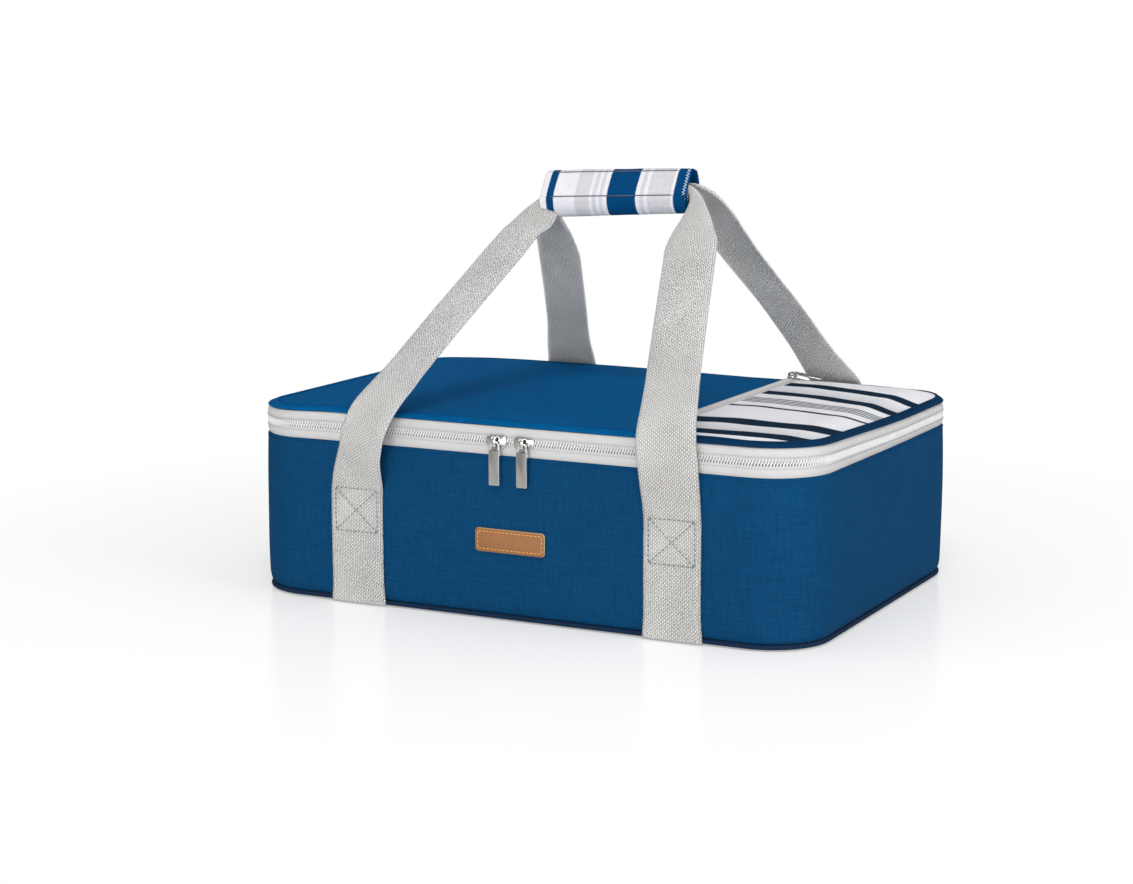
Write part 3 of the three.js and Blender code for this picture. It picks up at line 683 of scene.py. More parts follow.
POCKET_STRIPES = bands(
    (-142, -129, WHITE), (-129, -116, STRIPE_NAVY), (-116, -92, PALE_GREY, WHITE), (-92, -71, STRIPE_NAVY),
    (-71, -29, WHITE), (-29, -24.4, STRIPE_NAVY), (-24.4, -12, WHITE), (-12, 6, PALE_GREY), (6, 18, WHITE),
    (18, 33, STRIPE_NAVY), (33, 59, PALE_GREY, WHITE), (59, 75, STRIPE_NAVY), (75, 142, WHITE),
)
POCKET_LINES = (-12, 6, 4.5, STRIPE_NAVY)
WRAP_STRIPES = bands(
    (-1, 5.6, WRAP_WHITE), (5.6, 11.2, STRIPE_BLUE), (11.2, 27.5, WRAP_WHITE), (27.5, 38.2, WRAP_GREY),
    (38.2, 40.6, WRAP_WHITE), (40.6, 43.6, WRAP_GREY), (43.6, 46, WRAP_WHITE), (46, 48.3, WRAP_GREY),
    (48.3, 51.7, WRAP_WHITE), (51.7, 73.3, STRIPE_BLUE), (73.3, 76.3, WRAP_WHITE), (76.3, 79.4, WRAP_GREY),
    (79.4, 82, WRAP_WHITE), (82, 99, WRAP_GREY), (99, 101, WRAP_WHITE), (101, 112, STRIPE_BLUE),
)

BODY_CLOTH = woven("blue_body_cloth", BLUE, gloss=0.03)
LID_CLOTH = woven("blue_lid_cloth", LID_BLUE, gloss=0.02)
NAVY_CLOTH = woven("navy_binding_cloth", NAVY, pitch=0.8)
NAVY_BASE = woven("navy_base_cloth", NAVY, solid=True)
BINDING_CLOTH = woven("navy_edge_binding", rgb(7, 43, 72), pitch=0.8, gloss=0.03)
POCKET_CLOTH = striped("striped_pocket_cloth", POCKET_STRIPES, "v", POCKET_LINES)
WRAP_CLOTH = striped("striped_wrap_cloth", WRAP_STRIPES, "u")
WEBBING = webbing_material()
TAPE = tape_material("white_zip_tape")
CHAIN_TAPE = tape_material("white_chain_tape", GROOVE_SHADE_AT)
TEETH = grained(
    "nylon_teeth", rgb(204, 205, 206), (rgb(186, 187, 189), rgb(218, 218, 218)), 300.0, 2.0, (0.44, 0.58),
    roughness=0.5, specular=0.25,
)
GREY_THREAD = thread_material("grey_thread", THREAD_GREY)
BLUE_THREAD = thread_material("blue_thread", rgb(7, 58, 98), sheen=0.0)
CHAIN_THREAD = thread_material("zip_chain_thread", rgb(150, 152, 156))
EDGE_THREAD = thread_material("dark_edge_thread", rgb(74, 78, 88))
OVERLOCK = thread_material("overlock_thread", rgb(178, 192, 206))
ORANGE_THREAD = thread_material("orange_thread", rgb(214, 150, 70))
CHROME = chrome_material()
LEATHER = leather_material()
FOIL = foil_material()
FOAM = foam_material("grey_foam", rgb(208, 210, 208), 700.0)
BOARD = foam_material("pressed_board", rgb(150, 120, 88), 420.0)
LOOP_PILE = pile_material("loop_pile", rgb(18, 44, 74), 900.0)
HOOK_PILE = pile_material("hook_pile", rgb(16, 38, 64), 1300.0)


# The box: walls, base edge and lining.

def wall_swell(height):
    return SWELL * np.sin(math.pi * np.clip((np.asarray(height, float) - 4) / (WALL_TOP - 6), 0, 1)) ** 0.8


def close_loops(shape, rows, first=True):
    """Closes a stack of loops over its last loop and, where first is set, over its first one."""
    points = np.concatenate(shape.points)
    rings = [range(len(points) - 1, -1, -rows)]
    if first:
        rings.append(range(0, len(points), rows))
    for ring in rings:
        shape.faces.append(list(ring))
        shape.coords.extend([tuple(points[i, :2]) for i in ring])


def lay_flat(piece, points):
    """Cloth coordinates straight from above, for a flat panel."""
    index = np.empty(len(piece.data.loops), int)
    piece.data.loops.foreach_get("vertex_index", index)
    flat = np.asarray(points).reshape(-1, 3)[index][:, :2] * MM
    piece.data.uv_layers["cloth"].data.foreach_set("uv", flat.ravel())


def add_tub():
    outer = [(4.4, 3.3), (2.6, 3.5), (1.4, 4.6), (0.6, 6.6), (0.15, 9.5), (0.0, 13.0)]
    outer += [(0.0, z) for z in np.arange(20.0, WALL_TOP - 6, 7.0)]
    outer += [(0.0, WALL_TOP - 3.2), (0.15, WALL_TOP - 1.6), (0.55, WALL_TOP - 0.5), (1.1, WALL_TOP - 0.1)]
    outer += [(1.7, WALL_TOP - 0.5), (1.8, WALL_TOP - 2.0)]
    face_count = len(outer) - 2
    inner = [(1.8, z) for z in (80.0, 50.0, 20.0, 8.0)] + [(3.4, 4.6)]

    def swell(index, run, height):
        if index >= face_count:
            return np.zeros(len(run))
        soft = 0.28 * ripple(run, height * 1.4, 95.0, 2) * math.sin(math.pi * height / WALL_TOP)
        return wall_swell(height) + soft

    wall = sweep(outer + inner, swell=swell, step=7.0, turns=18)
    piece = wall.make("body_wall", BODY_CLOTH, "tub", ["outer_wall"], "body_cloth")

    # The base piping is dark navy cloth; its darkness also stands in for the painted shade along the rounded
    # base edge.
    piping = sweep(circle_profile(1.75, 2.0, 1.6, 12), step=10.0, turns=18)
    piping.make("base_cord_piping", NAVY_CLOTH, "tub", ["base_piping"], "navy_cloth")

    foam = [
        (2.2, 5.6), (2.2, 106.0), (2.8, 108.2), (6.2, 108.2),
        (6.7, 106.0), (6.7, 12.0), (9.0, 10.3), (60.0, 10.3),
    ]
    shape = sweep(foam, closed_profile=False)
    close_loops(shape, len(foam))
    piece = shape.make("wall_foam", FOAM, "tub", ["wall_insulation"], "foam")

    for node, material in (("base_panel", NAVY_BASE), ("base_board", BOARD)):
        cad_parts[node].data.materials.clear()
        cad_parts[node].data.materials.append(material)


def add_lining():
    top = cad_box("inner_lining")[1][2]
    profile = [(7.3, top - 0.2)]
    profile += [(7.9, z) for z in np.arange(top - 0.4, 20.0, -4.0)]
    profile += [(8.2, 17.0), (9.4, 13.8), (12.0, 12.0), (16.0, LINING_FLOOR)]
    profile += [(inset, LINING_FLOOR) for inset in np.arange(24.0, HALF_Y - 4, 8.0)]

    def swell(index, run, height):
        soft = 0.55 * ripple(run, height * 2 + index * 9, 46.0, 5)
        soft = soft + 0.3 * ripple(run, height * 3 + index * 7, 19.0, 8)
        return (soft - 0.6) * (1 - smooth(height, 76.0, 96.0)) * (index > 0)

    shape = sweep(profile, closed_profile=False, swell=swell, step=6.0, turns=12)
    points = shape.points[0]
    unevenness = 0.35 * ripple(points[:, 0], points[:, 1], 38.0, 3)
    points[:, 2] += np.where(points[:, 2] < LINING_FLOOR + 1.5, unevenness, 0)
    close_loops(shape, len(profile), first=False)
    piece = shape.make("foil_tub_lining", FOIL, "tub", ["inner_lining"], "foil")

    binding = sweep([
        (4.4, 109.3), (4.2, 110.0), (4.9, 110.7), (6.2, 110.9), (7.8, 110.7), (8.8, 109.9), (9.1, 107.0),
        (9.0, 103.4), (8.5, 102.6), (8.1, 103.4), (7.6, 109.2),
    ], step=9.0, turns=14)
    binding.make("rim_binding_tape", NAVY_CLOTH, "tub", ["inner_binding"], "navy_cloth")


# The main zip: two tapes, two rows of teeth and two sliders.

def add_zip():
    low_tape = [
        (2.4, -2.5), (1.4, -0.5), (0.6, 1.0), (0.1, 2.8), (-0.1, 4.6), (0.1, 6.2), (0.6, 7.0), (0.9, 8.0),
        (0.95, 9.2), (2.0, 9.2), (2.4, 4.0),
    ]
    low_tape = [(inset, WALL_TOP + height) for inset, height in low_tape]
    high_tape = [(inset, 2 * COIL_Z - height) for inset, height in low_tape]
    high_tape[:2] = [(3.2, RIM_Z - 0.5), (1.5, RIM_Z - 0.3)]
    halves = (("lower", -1, "tub", low_tape), ("upper", 1, "lid", high_tape))
    for name, _, body, profile in halves:
        tape = sweep(profile, -ZIP_END, ZIP_END, step=7.0, turns=18)
        tape.make("zip_tape_" + name, CHAIN_TAPE, body, [name + "_zip_tape"], "zip_tape")

    path, outward = plan_path(0.55, -ZIP_END, ZIP_END, step=6.0, turns=30)
    run = lengths(at_height(path))
    for name, side, body, _ in halves:
        shape = Shape()
        first = TOOTH_PITCH / 2 if side < 0 else TOOTH_PITCH
        for at in np.arange(first, run[-1], TOOTH_PITCH):
            out = unit(np.append(read_off(outward, run, at), 0.0))
            centre = sagged(np.append(read_off(path, run, at), COIL_Z + side * 0.95))
            lean = np.array([-out[1], out[0], 0.0]) * 0.22
            capsule(shape, centre, UP + lean, out, 3.3, 1.15, 1.5)
        shape.make("zip_teeth_" + name, TEETH, body, [name + "_zip_coil"], "zip_coil")

    path, outward = plan_path(-0.12, -ZIP_END, ZIP_END, step=5.0, turns=24)
    for name, height, body, material, length, gap, slot in (
        ("zip_seam_thread", WALL_TOP - 2.2, "tub", BLUE_THREAD, 2.4, 1.2, "body_cloth"),
        ("zip_chain_thread_lower", COIL_Z - 3.7, "tub", CHAIN_THREAD, 1.1, 0.9, "zip_tape"),
        ("zip_chain_thread_upper", COIL_Z + 3.7, "lid", CHAIN_THREAD, 1.1, 0.9, "zip_tape"),
    ):
        seam = Shape()
        stitch_row(seam, sagged(at_height(path, height)), at_height(outward), length, gap, 0.5)
        seam.make(name, material, body, slot=slot)
    add_hinge_cloth()


def add_hinge_cloth():
    """The cloth behind, where the zip stops, between the wall and the lid, bowed out a little."""
    xs = np.linspace(-ZIP_END + 0.5, ZIP_END - 0.5, 60)
    zs = np.linspace(WALL_TOP - 2.0, RIM_Z + 1.5, 26)
    grid_x, grid_z = np.meshgrid(xs, zs, indexing="ij")
    bow = 0.7 * np.sin(math.pi * (grid_z - zs[0]) / (zs[-1] - zs[0]))
    bow = bow + 0.12 * ripple(grid_x, grid_z * 3, 60.0, 4)
    outside = np.stack([grid_x, HALF_Y - 1.1 + bow, grid_z], axis=-1)
    inside = outside + FRONT * 1.3
    loop = sagged(np.concatenate([outside, inside[:, ::-1]], axis=1))
    panel = Shape()
    panel.tube(loop, xs, np.concatenate([zs, zs[::-1], zs[:1]]))
    piece = panel.make("rear_hinge_cloth", BODY_CLOTH, None, ["rear_hinge_panel"], "body_cloth")
    rest = loop[30, : len(zs)]
    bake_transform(piece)
    drop = lengths(rest)[-1]


def plate(shape, outline, thick, place, bevel):
    """A cut plate with rounded edges. outline is (a, b) pairs; place turns (a, b, depth) into a point."""
    outline = np.asarray(outline, float)
    inward = unit(outline.mean(axis=0) - outline)
    rings = []
    for shrink, depth in (
        (bevel, 0.0), (bevel * 0.3, bevel * 0.3), (0.0, bevel),
        (0.0, thick - bevel), (bevel * 0.3, thick - bevel * 0.3), (bevel, thick),
    ):
        rings.append([place(a, b, depth) for a, b in outline + inward * shrink])
    shape.tube(rings, np.arange(6.0), np.linspace(0, 10, len(outline) + 1))


def rounded_box(a_low, a_high, b_low, b_high, radius):
    points = []
    for turn, (a, b) in enumerate((
        (a_high - radius, b_high - radius), (a_low + radius, b_high - radius),
        (a_low + radius, b_low + radius), (a_high - radius, b_low + radius),
    )):
        for angle in np.radians(90.0 * turn + np.linspace(0, 90.0, 5)):
            points.append((a + radius * math.cos(angle), b + radius * math.sin(angle)))
    return points


def slider_shape(place, long_half, half, thick, bail_space):
    """A zip slider: a waisted front plate over the teeth with an arched bail."""
    shape = Shape()
    outline = []
    for t in np.linspace(0, TAU, 36, endpoint=False):
        a = rounded(math.cos(t), 0.55) * long_half
        b = rounded(math.sin(t), 0.6) * half
        b *= 1 - 0.16 * (0.5 - 0.5 * a / long_half) - 0.1 * math.cos(a / long_half * math.pi / 2) ** 2
        outline.append((a, b))
    plate(shape, outline, thick, place, 0.5)
    arch = np.array([
        place(0.0, half * 0.72 * rounded(c, 0.6), thick - 0.3 + (bail_space + 0.7) * abs(s) ** 0.55)
        for c, s in half_turn(15)
    ])
    across = place(1.0, 0, 0) - place(0.0, 0, 0)
    bar(shape, arch, across, unit(np.cross(tangents(arch), across)), 1.5, 0.62, 12, 3.2)
    return shape


def half_turn(count):
    """Cosines and sines of half a turn."""
    return [(math.cos(t), math.sin(t)) for t in np.linspace(0, math.pi, count)]


def pull_frame(shape, rail, facing, half_width, half_thick):
    """The open frame at the end of a pull: a wire along a squared loop."""
    rail, facing = np.broadcast_arrays(rail, facing)
    bar(shape, rail, unit(np.cross(tangents(rail), facing)), facing, half_width, half_thick, 10, 3.0)


def add_sliders():
    for side, sign in (("left", -1), ("right", 1)):
        low, high = cad_box(side + "_slider")
        centre_x = (low[0] + high[0]) / 2

        def place(a, b, depth):
            return np.array([centre_x - sign * a, -HALF_Y + 0.2 - depth, COIL_Z + b])

        shape = slider_shape(place, (high[0] - low[0]) / 2, 4.7, 2.2, 2.9)
        shape.make(side + "_slider_body", CHROME, side + "_zip_slider", [side + "_slider"], "chrome")
        add_pull(side)


def add_pull(side):
    """A long flat tab hanging from the bail by an open frame at its top."""
    low, high = cad_box(side + "_pull")
    half, thick, _ = (high - low) / 2 * (1, 2, 1)
    top = high[2]
    frame_bottom = top - 7.0
    centre = (low + high) / 2 * (1, 1, 0)

    def place(a, b, depth):
        return centre + np.array([a, -depth + thick / 2, b])

    shape = Shape()
    plate(shape, rounded_box(-half, half, low[2], frame_bottom + 1.4, 0.8), thick, place, 0.55)
    foot = frame_bottom + 0.6
    reach = top - frame_bottom - 1.35
    rail = [
        place((half - 1.0) * rounded(c, 0.45), foot + reach * abs(s) ** 0.45, thick / 2)
        for c, s in half_turn(17)
    ]
    pull_frame(shape, rail, FRONT, 0.8, 1.0)
    shape.make(side + "_pull_tab", CHROME, side + "_zip_pull", [side + "_pull"], "chrome", 24.0)


# The lid: cover, stitched ridge, lining and pocket.

LID_TOP = 2.6
POCKET_ZIP_X = cad_box("pocket_zip_coil")[0][0] + 1.2
POCKET_EDGE = 4.6
POCKET_HALF = HALF_Y - POCKET_EDGE


def lid_height(x, y):
    """The crown of the padded lid over its rim."""
    edge = np.minimum(HALF_X - np.abs(x), HALF_Y - np.abs(y))
    crown = 0.9 * smooth(edge, 4.0, 60.0) + 0.22 * ripple(x, y, 120.0, 6) * smooth(edge, 8.0, 40.0)
    flat = smooth(x, 48.0, 84.0)
    return crown * (1 - flat) + 0.55 * smooth(edge, 4.0, 26.0) * flat


def add_lid():
    profile = [
        (4.6, -0.3), (2.2, -0.3), (1.0, 0.1), (0.35, 0.5), (0.2, 0.9), (0.7, 1.4),
        (1.8, 1.8), (3.2, 2.1), (4.8, 2.3), (6.6, 2.4), (8.4, 2.5),
    ]
    flat_from = len(profile) - 3
    profile += [(inset, LID_TOP) for inset in np.arange(12.0, HALF_Y - 3, 6.0)]
    profile = [(inset, RIM_Z + height) for inset, height in profile]
    shape = sweep(profile, closed_profile=False, step=6.0, turns=16)
    points = shape.points[0].reshape(-1, len(profile), 3)
    flat = points[:, flat_from:]
    flat[..., 2] += lid_height(flat[..., 0], flat[..., 1])
    close_loops(shape, len(profile))
    piece = shape.make("lid_panel", LID_CLOTH, "lid", ["lid_cover"], "lid_cloth")
    lay_flat(piece, points)

    end = POCKET_ZIP_X + 4.0
    ridge = [(inset + 5.3, height + RIM_Z + 2.15) for inset, height in circle_profile(0.0, 0.0, 0.9, 12, 1.6)]
    shape = sweep(ridge, end, end, step=7.0, turns=18, front_to=end)
    shape.make("lid_edge_ridge", LID_CLOTH, "lid", ["lid_ridge"], "lid_cloth")
    seam = Shape()
    path = plan_path(7.9, end, end, 5.0, 24, end)[0]
    stitch_row(seam, sagged(at_height(path, RIM_Z + LID_TOP)), UP, 2.6, 1.1, 0.5)
    seam.make("lid_ridge_thread", BLUE_THREAD, "lid", slot="lid_cloth")

    low, high = cad_box("lid_lining")
    under = [(5.4, high[2] + 0.1), (5.6, low[2] + 0.2), (8.0, low[2] - 0.1)]
    under += [(inset, low[2]) for inset in np.arange(14.0, HALF_Y - 4, 7.0)]
    lining = sweep(under, closed_profile=False, step=7.0, turns=12, whole=True)
    points = lining.points[0]
    puff = np.minimum(HALF_X - np.abs(points[:, 0]), HALF_Y - np.abs(points[:, 1]))
    points[:, 2] += (0.35 * ripple(points[:, 0], points[:, 1], 40.0, 7) - 0.5) * smooth(puff, 8.0, 30.0)
    close_loops(lining, len(under))
    piece = lining.make("foil_lid_lining", FOIL, "lid", ["lid_lining"], "foil")

    low, high = cad_box("lid_insulation")
    foam = [(5.4, low[2] + 0.3), (5.2, low[2] + 1.2), (5.2, high[2] - 1.0), (5.8, high[2] - 0.2)]
    shape = sweep(foam, closed_profile=False, whole=True)
    close_loops(shape, len(foam))
    piece = shape.make("lid_foam", FOAM, "lid", ["lid_insulation"], "foam")


def pocket_side(y):
    """The pocket's right edge at one place along the lid."""
    radius = CORNER - POCKET_EDGE
    beyond = np.maximum(0.0, np.abs(y) - (POCKET_HALF - radius))
    return HALF_X - POCKET_EDGE - radius + np.sqrt(np.maximum(radius ** 2 - beyond ** 2, 0.0))


def pocket_height(x, y):
    right = smooth(pocket_side(y) - x, -2.0, 24.0)
    ends = smooth(POCKET_HALF + y, -2.0, 30.0) * smooth(POCKET_HALF - y, -2.0, 66.0)
    opening = 0.35 + 0.65 * smooth(x, POCKET_ZIP_X, POCKET_ZIP_X + 34.0)
    wave = 0.3 * ripple(x, y, 58.0, 9)
    return RIM_Z + 2.75 + 0.6 * right + right * ends * opening * (1.0 + wave)


def add_pocket():
    columns = 64
    rows = 150
    left = POCKET_ZIP_X + 5.0
    ts = 1 - (1 - np.linspace(0, 1, columns)) ** 1.3
    ys = np.linspace(-POCKET_HALF, POCKET_HALF, rows)
    x = left + (pocket_side(ys)[None, :] - left) * ts[:, None]
    y = np.broadcast_to(ys[None, :], x.shape)
    points = np.stack([x, y, pocket_height(x, y)], axis=-1)
    under = sagged(points - UP)[::-1]
    points = sagged(points)
    shape = Shape()
    shape.grid(points, points[:, 0, 0], ys)
    shape.grid(under, points[::-1, 0, 0], ys)
    index = np.arange(2 * columns * rows).reshape(2, columns, rows)
    above, below = (
        np.concatenate([layer[:, 0], layer[-1, 1:], layer[-2::-1, -1], layer[0, -2:0:-1]])
        for layer in (index[0], index[1, ::-1])
    )
    shape.faces.extend(np.stack([np.roll(above, -1), above, below, np.roll(below, -1)], axis=1).tolist())
    shape.coords.extend([(0.0, 0.0)] * 4 * len(above))
    piece = shape.make("pocket_cloth_panel", POCKET_CLOTH, "lid", ["pocket_panel"], "striped_cloth")
    cloth = np.concatenate([points.reshape(-1, 3), under.reshape(-1, 3)])
    askew = smooth(cloth[:, 1], -90.0, 50.0) * (1 - np.clip((cloth[:, 0] - left) / 100.0, 0, 1))
    cloth[:, 1] -= 20.0 * askew
    lay_flat(piece, cloth)

    corner = np.linspace(left, pocket_side(POCKET_HALF), 24)[:-1]
    edge_x = np.concatenate([corner, pocket_side(ys), corner[::-1]])
    edge_y = np.concatenate([np.full(23, -POCKET_HALF), ys, np.full(23, POCKET_HALF)])
    route = np.column_stack([edge_x, edge_y, pocket_height(edge_x, edge_y) - 0.1])
    binding = Shape()
    cord(binding, resample(sagged(route), 4.0), UP, 1.3, 0.85, 10, 2.4)
    band = [
        (5.4, 2.5), (4.0, 2.9), (2.4, 2.6), (1.0, 1.9), (0.0, 1.1), (-0.1, 0.5),
        (0.4, 0.1), (1.2, 0.3), (0.6, 0.8), (2.0, 1.7), (4.0, 2.1),
    ]
    band = [(inset, RIM_Z + height) for inset, height in band]
    binding.join(sweep(band, step=5.0, turns=18, beyond=left))
    binding.make("pocket_edge_binding", BINDING_CLOTH, "lid", ["pocket_binding"], "navy_cloth")


def add_pocket_zip():
    low, high = cad_box("pocket_zip_coil")
    ys = np.arange(low[1], high[1] + 0.1, 4.0)
    section = np.linspace(0, 1, 7)
    crown = 0.5 + 0.7 * np.sin(math.pi * section) ** 0.6

    def base_height(y):
        return RIM_Z + LID_TOP + lid_height(POCKET_ZIP_X, y)

    for name, x_low, x_high in (("inner", -5.2, -0.3), ("outer", 0.3, 5.6)):
        x = POCKET_ZIP_X + x_low + (x_high - x_low) * section
        around = np.concatenate([x, x[::-1]])
        height = np.concatenate([crown, np.full(len(x), -0.4)])
        loop = [np.column_stack([around, np.full(len(around), y), base_height(y) + height]) for y in ys]
        shape = Shape()
        shape.tube(sagged(loop), ys, np.linspace(0, 12, len(around) + 1))
        shape.make("pocket_tape_" + name, TAPE, "lid", ["pocket_zip_tape_" + name], "zip_tape")
    teeth = Shape()
    for k, y in enumerate(np.arange(low[1] + 1.0, high[1] - 1.0, POCKET_TOOTH_PITCH)):
        place = (POCKET_ZIP_X + (0.75 if k % 2 else -0.75), y, base_height(y) + 1.0)
        capsule(teeth, sagged(place), RIGHT, UP, 2.7, 0.85, 1.3)
    teeth.make("pocket_zip_teeth", TEETH, "lid", ["pocket_zip_coil"], "zip_coil")


def add_pocket_slider():
    low, high = cad_box("pocket_slider")
    centre = (low + high) / 2

    def place(a, b, depth):
        return np.array([centre[0] + b, centre[1] + a, low[2] + 0.3 + depth])

    shape = slider_shape(place, 4.5, 3.2, 1.7, 1.5)
    shape.make("pocket_slider_body", CHROME, "pocket_zip_slider", ["pocket_slider"], "chrome")
    pull_low, pull_high = cad_box("pocket_pull")
    pivot = np.array([pull_low[0] + 0.9, centre[1], pull_high[2] - 1.2])
    tip = np.array([pull_high[0], centre[1], pull_low[2] + 0.9])
    lie = unit(tip - pivot)
    up = unit(np.cross(lie, -FRONT))
    thick = 1.3

    def lay(a, b, depth):
        return pivot + lie * a - FRONT * b + up * (depth - thick / 2)

    tab = Shape()
    plate(tab, rounded_box(5.4, np.linalg.norm(tip - pivot), -2.7, 2.7, 1.0), thick, lay, 0.3)
    rail = [lay(6.0 - 6.0 * abs(s) ** 0.45, 2.1 * rounded(c, 0.45), thick / 2) for c, s in half_turn(15)]
    pull_frame(tab, rail, up, 0.6, 0.55)
    tab.make("pocket_pull_tab", CHROME, "pocket_zip_pull", ["pocket_pull"], "chrome", 24.0)


# The carrying straps and the padded grip.

GRIP_X = 5.0
GRIP_HALF = 53.0
GRIP_Z = 269.0
GRIP_SPLIT = 4.7
GRIP_TILT = 0.042
GRIP_ENDS = (-GRIP_HALF, GRIP_HALF + 4.0)

# For each strap, by its side in x and in y: the x where it bends over the rim; how it narrows into the
# grip, as the distances from its end where that is done and where it begins, and the half width there;
# and its turns in degrees, at the rim and on its way up.
KNEES = {(-1, -1): -101.0, (1, -1): 111.5, (-1, 1): -103.5, (1, 1): 113.5}
TAPERS = {
    (-1, -1): (2.0, 32.0, 9.0), (1, -1): (5.0, 54.0, 2.8),
    (-1, 1): (8.0, 64.0, 2.0), (1, 1): (3.0, 46.0, 3.4),
}
TURNS = {(-1, -1): (17.0, 10.0), (1, -1): (-5.0, 4.0), (-1, 1): (0.0, 14.0), (1, 1): (0.0, 10.0)}


def bezier(a, b, c, count):
    t = np.linspace(0, 1, count)[:, None]
    return (1 - t) ** 2 * a + 2 * t * (1 - t) * b + t ** 2 * c


def grip_z(x):
    """The grip hangs a little higher at its right end."""
    return GRIP_Z + GRIP_TILT * (np.asarray(x, float) - GRIP_X)


def leg_line(side_x, side_y):
    """The middle of one strap, from the base edge up its sewn end and on to the grip."""
    face = HALF_Y + 1.15
    heights = np.linspace(0.9, STITCH_TOP - 4, 40)
    sewn = np.column_stack([
        np.full(len(heights), side_x * STRAP_X),
        side_y * (face + wall_swell(heights)),
        heights,
    ])
    knee_x = KNEES[side_x, side_y]
    start = np.array([side_x * STRAP_X, side_y * (face + wall_swell(STITCH_TOP)), STITCH_TOP])
    over_rim = 132.0 if side_y < 0 else 121.0
    bend = np.array([side_x * STRAP_X * 0.5 + knee_x * 0.5, side_y * 149.8, over_rim - 20.0])
    knee = np.array([knee_x, side_y * 151.2, over_rim])
    if side_x < 0:
        over = np.array([-46.5, side_y * 5.0, 255.0])
        end = np.array([-39.0, side_y * GRIP_SPLIT, 265.0])
        aim = np.array([-45.5, side_y * 6.0, 265.0])
        leave = 0.84
    else:
        over = np.array([71.5, side_y * 5.2, 275.0])
        end = np.array([57.0, side_y * GRIP_SPLIT, 274.0])
        aim = np.array([66.5 if side_y < 0 else 72.0, side_y * 6.0, 264.0])
        leave = 0.88
    lean = unit(aim - knee)
    rise = unit(knee - bend)
    before = knee - rise * 13.0
    after = knee + lean * 16.0
    corner = knee + (aim - knee) * leave
    low = start - np.array([0, 0, 9.0])
    high = start + unit(bend - start) * 14.0
    near = bend - unit(bend - start) * 8.0
    beyond = bend + rise * 7.0
    parts = [
        sewn[sewn[:, 2] < low[2]],
        bezier(low, start, high, 12),
        np.linspace(high, near, 6)[1:],
        bezier(near, bend, beyond, 8)[1:],
        bezier(before, knee, after, 16),
        np.linspace(after, corner, 40)[1:],
        bezier(corner, over, end, 18)[1:],
    ]
    return resample(np.vstack(parts), 1.5)


def eased(vectors, reach):
    """Directions along a line, each averaged with its neighbours, so that a bend is taken softly."""
    padded = np.pad(unit(vectors), ((reach, reach), (0, 0)), mode="edge")
    return np.mean([padded[k : k + len(vectors)] for k in range(2 * reach + 1)], axis=0)


def add_strap(side_x, side_y):
    name = ("front" if side_y < 0 else "rear") + ("_left" if side_x < 0 else "_right")
    out = -side_y * FRONT
    line = leg_line(side_x, side_y)
    along = tangents(line)
    flat = np.column_stack([np.zeros(len(line)), side_y * along[:, 2], -side_y * along[:, 1]])
    left = lengths(line)[-1] - lengths(line)
    settle = smooth(left, 0.0, 18.0)[:, None]
    normal = unit(flat * settle + out * (1 - settle))
    across = unit(eased(np.cross(along, normal), 10))
    normal = unit(np.cross(across, along))
    z = line[:, 2]
    at_rim, on_leg = TURNS[side_x, side_y]
    rim_turn = smooth(z, STITCH_TOP - 4, 108.0) * (1 - smooth(z, 118.0, 152.0))
    leg_turn = smooth(z, 120.0, 160.0) * smooth(left, 6.0, 40.0)
    angle = np.radians(rim_turn * at_rim + leg_turn * on_leg)[:, None]
    line = line + out * (rim_turn * abs(at_rim) * 0.14)[:, None]
    across, normal = (
        across * np.cos(angle) + normal * np.sin(angle),
        normal * np.cos(angle) - across * np.sin(angle),
    )
    last, first, end_half = TAPERS[side_x, side_y]
    narrow = 1 - smooth(left, last, first)
    free = smooth(z, 128.0, 170.0)
    foot = 1 - smooth(z, 2.0, 16.0)
    half_width = (STRAP_WIDTH / 2 - 1.2 * free) * (1 - narrow) + end_half * narrow + 0.9 * foot
    half_thick = STRAP_THICK / 2 + 1.3 * narrow
    curl = 7.0 if side_x > 0 and side_y > 0 else 2.4
    cup = free * (1.0 + curl * smooth(z, 180.0, 240.0)) * (1 - 0.8 * narrow)
    shape = Shape()
    ribbon(shape, line, across, normal, half_width, half_thick, 17, 9.0, cup=cup)
    piece = shape.make(
        name + "_strap", WEBBING, None, [name + "_strap_end", name + "_strap_leg"], "webbing", sharp=50.0
    )
    y = side_y * HALF_Y * MM
    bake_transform(piece)

    box = Shape()
    y = side_y * (HALF_Y + 2.15 + wall_swell(BOX_STITCH_Z))
    x = side_x * STRAP_X
    corners = [np.array([x + a * 16.0, y, BOX_STITCH_Z + b * 14.5]) for a, b in QUARTERS]
    for a, b in ((0, 1), (1, 2), (2, 3), (3, 0), (0, 2), (1, 3)):
        stitch_row(box, np.linspace(corners[a], corners[b], 20), out, 1.9, 1.1, 0.6, 0.0)
    box.make(name + "_box_stitch", GREY_THREAD, "tub", slot="webbing")


def add_grips():
    for side_y, name, body in ((-1, "front_grip", "front_handle"), (1, "rear_grip", "rear_handle")):
        xs = np.arange(GRIP_X - GRIP_HALF + 3.0, GRIP_X + GRIP_HALF - 1.0, 1.0)
        line = np.column_stack([xs, np.full(len(xs), side_y * GRIP_SPLIT), grip_z(xs)])
        across = np.broadcast_to(UP, line.shape)
        normal = np.broadcast_to(-side_y * FRONT, line.shape)
        shape = Shape()
        ribbon(shape, line, across, normal, 7.0, 2.5, 13, 7.0, ribs=0.1)
        shape.make(name + "_webbing", WEBBING, body, [name], "webbing", sharp=50.0)


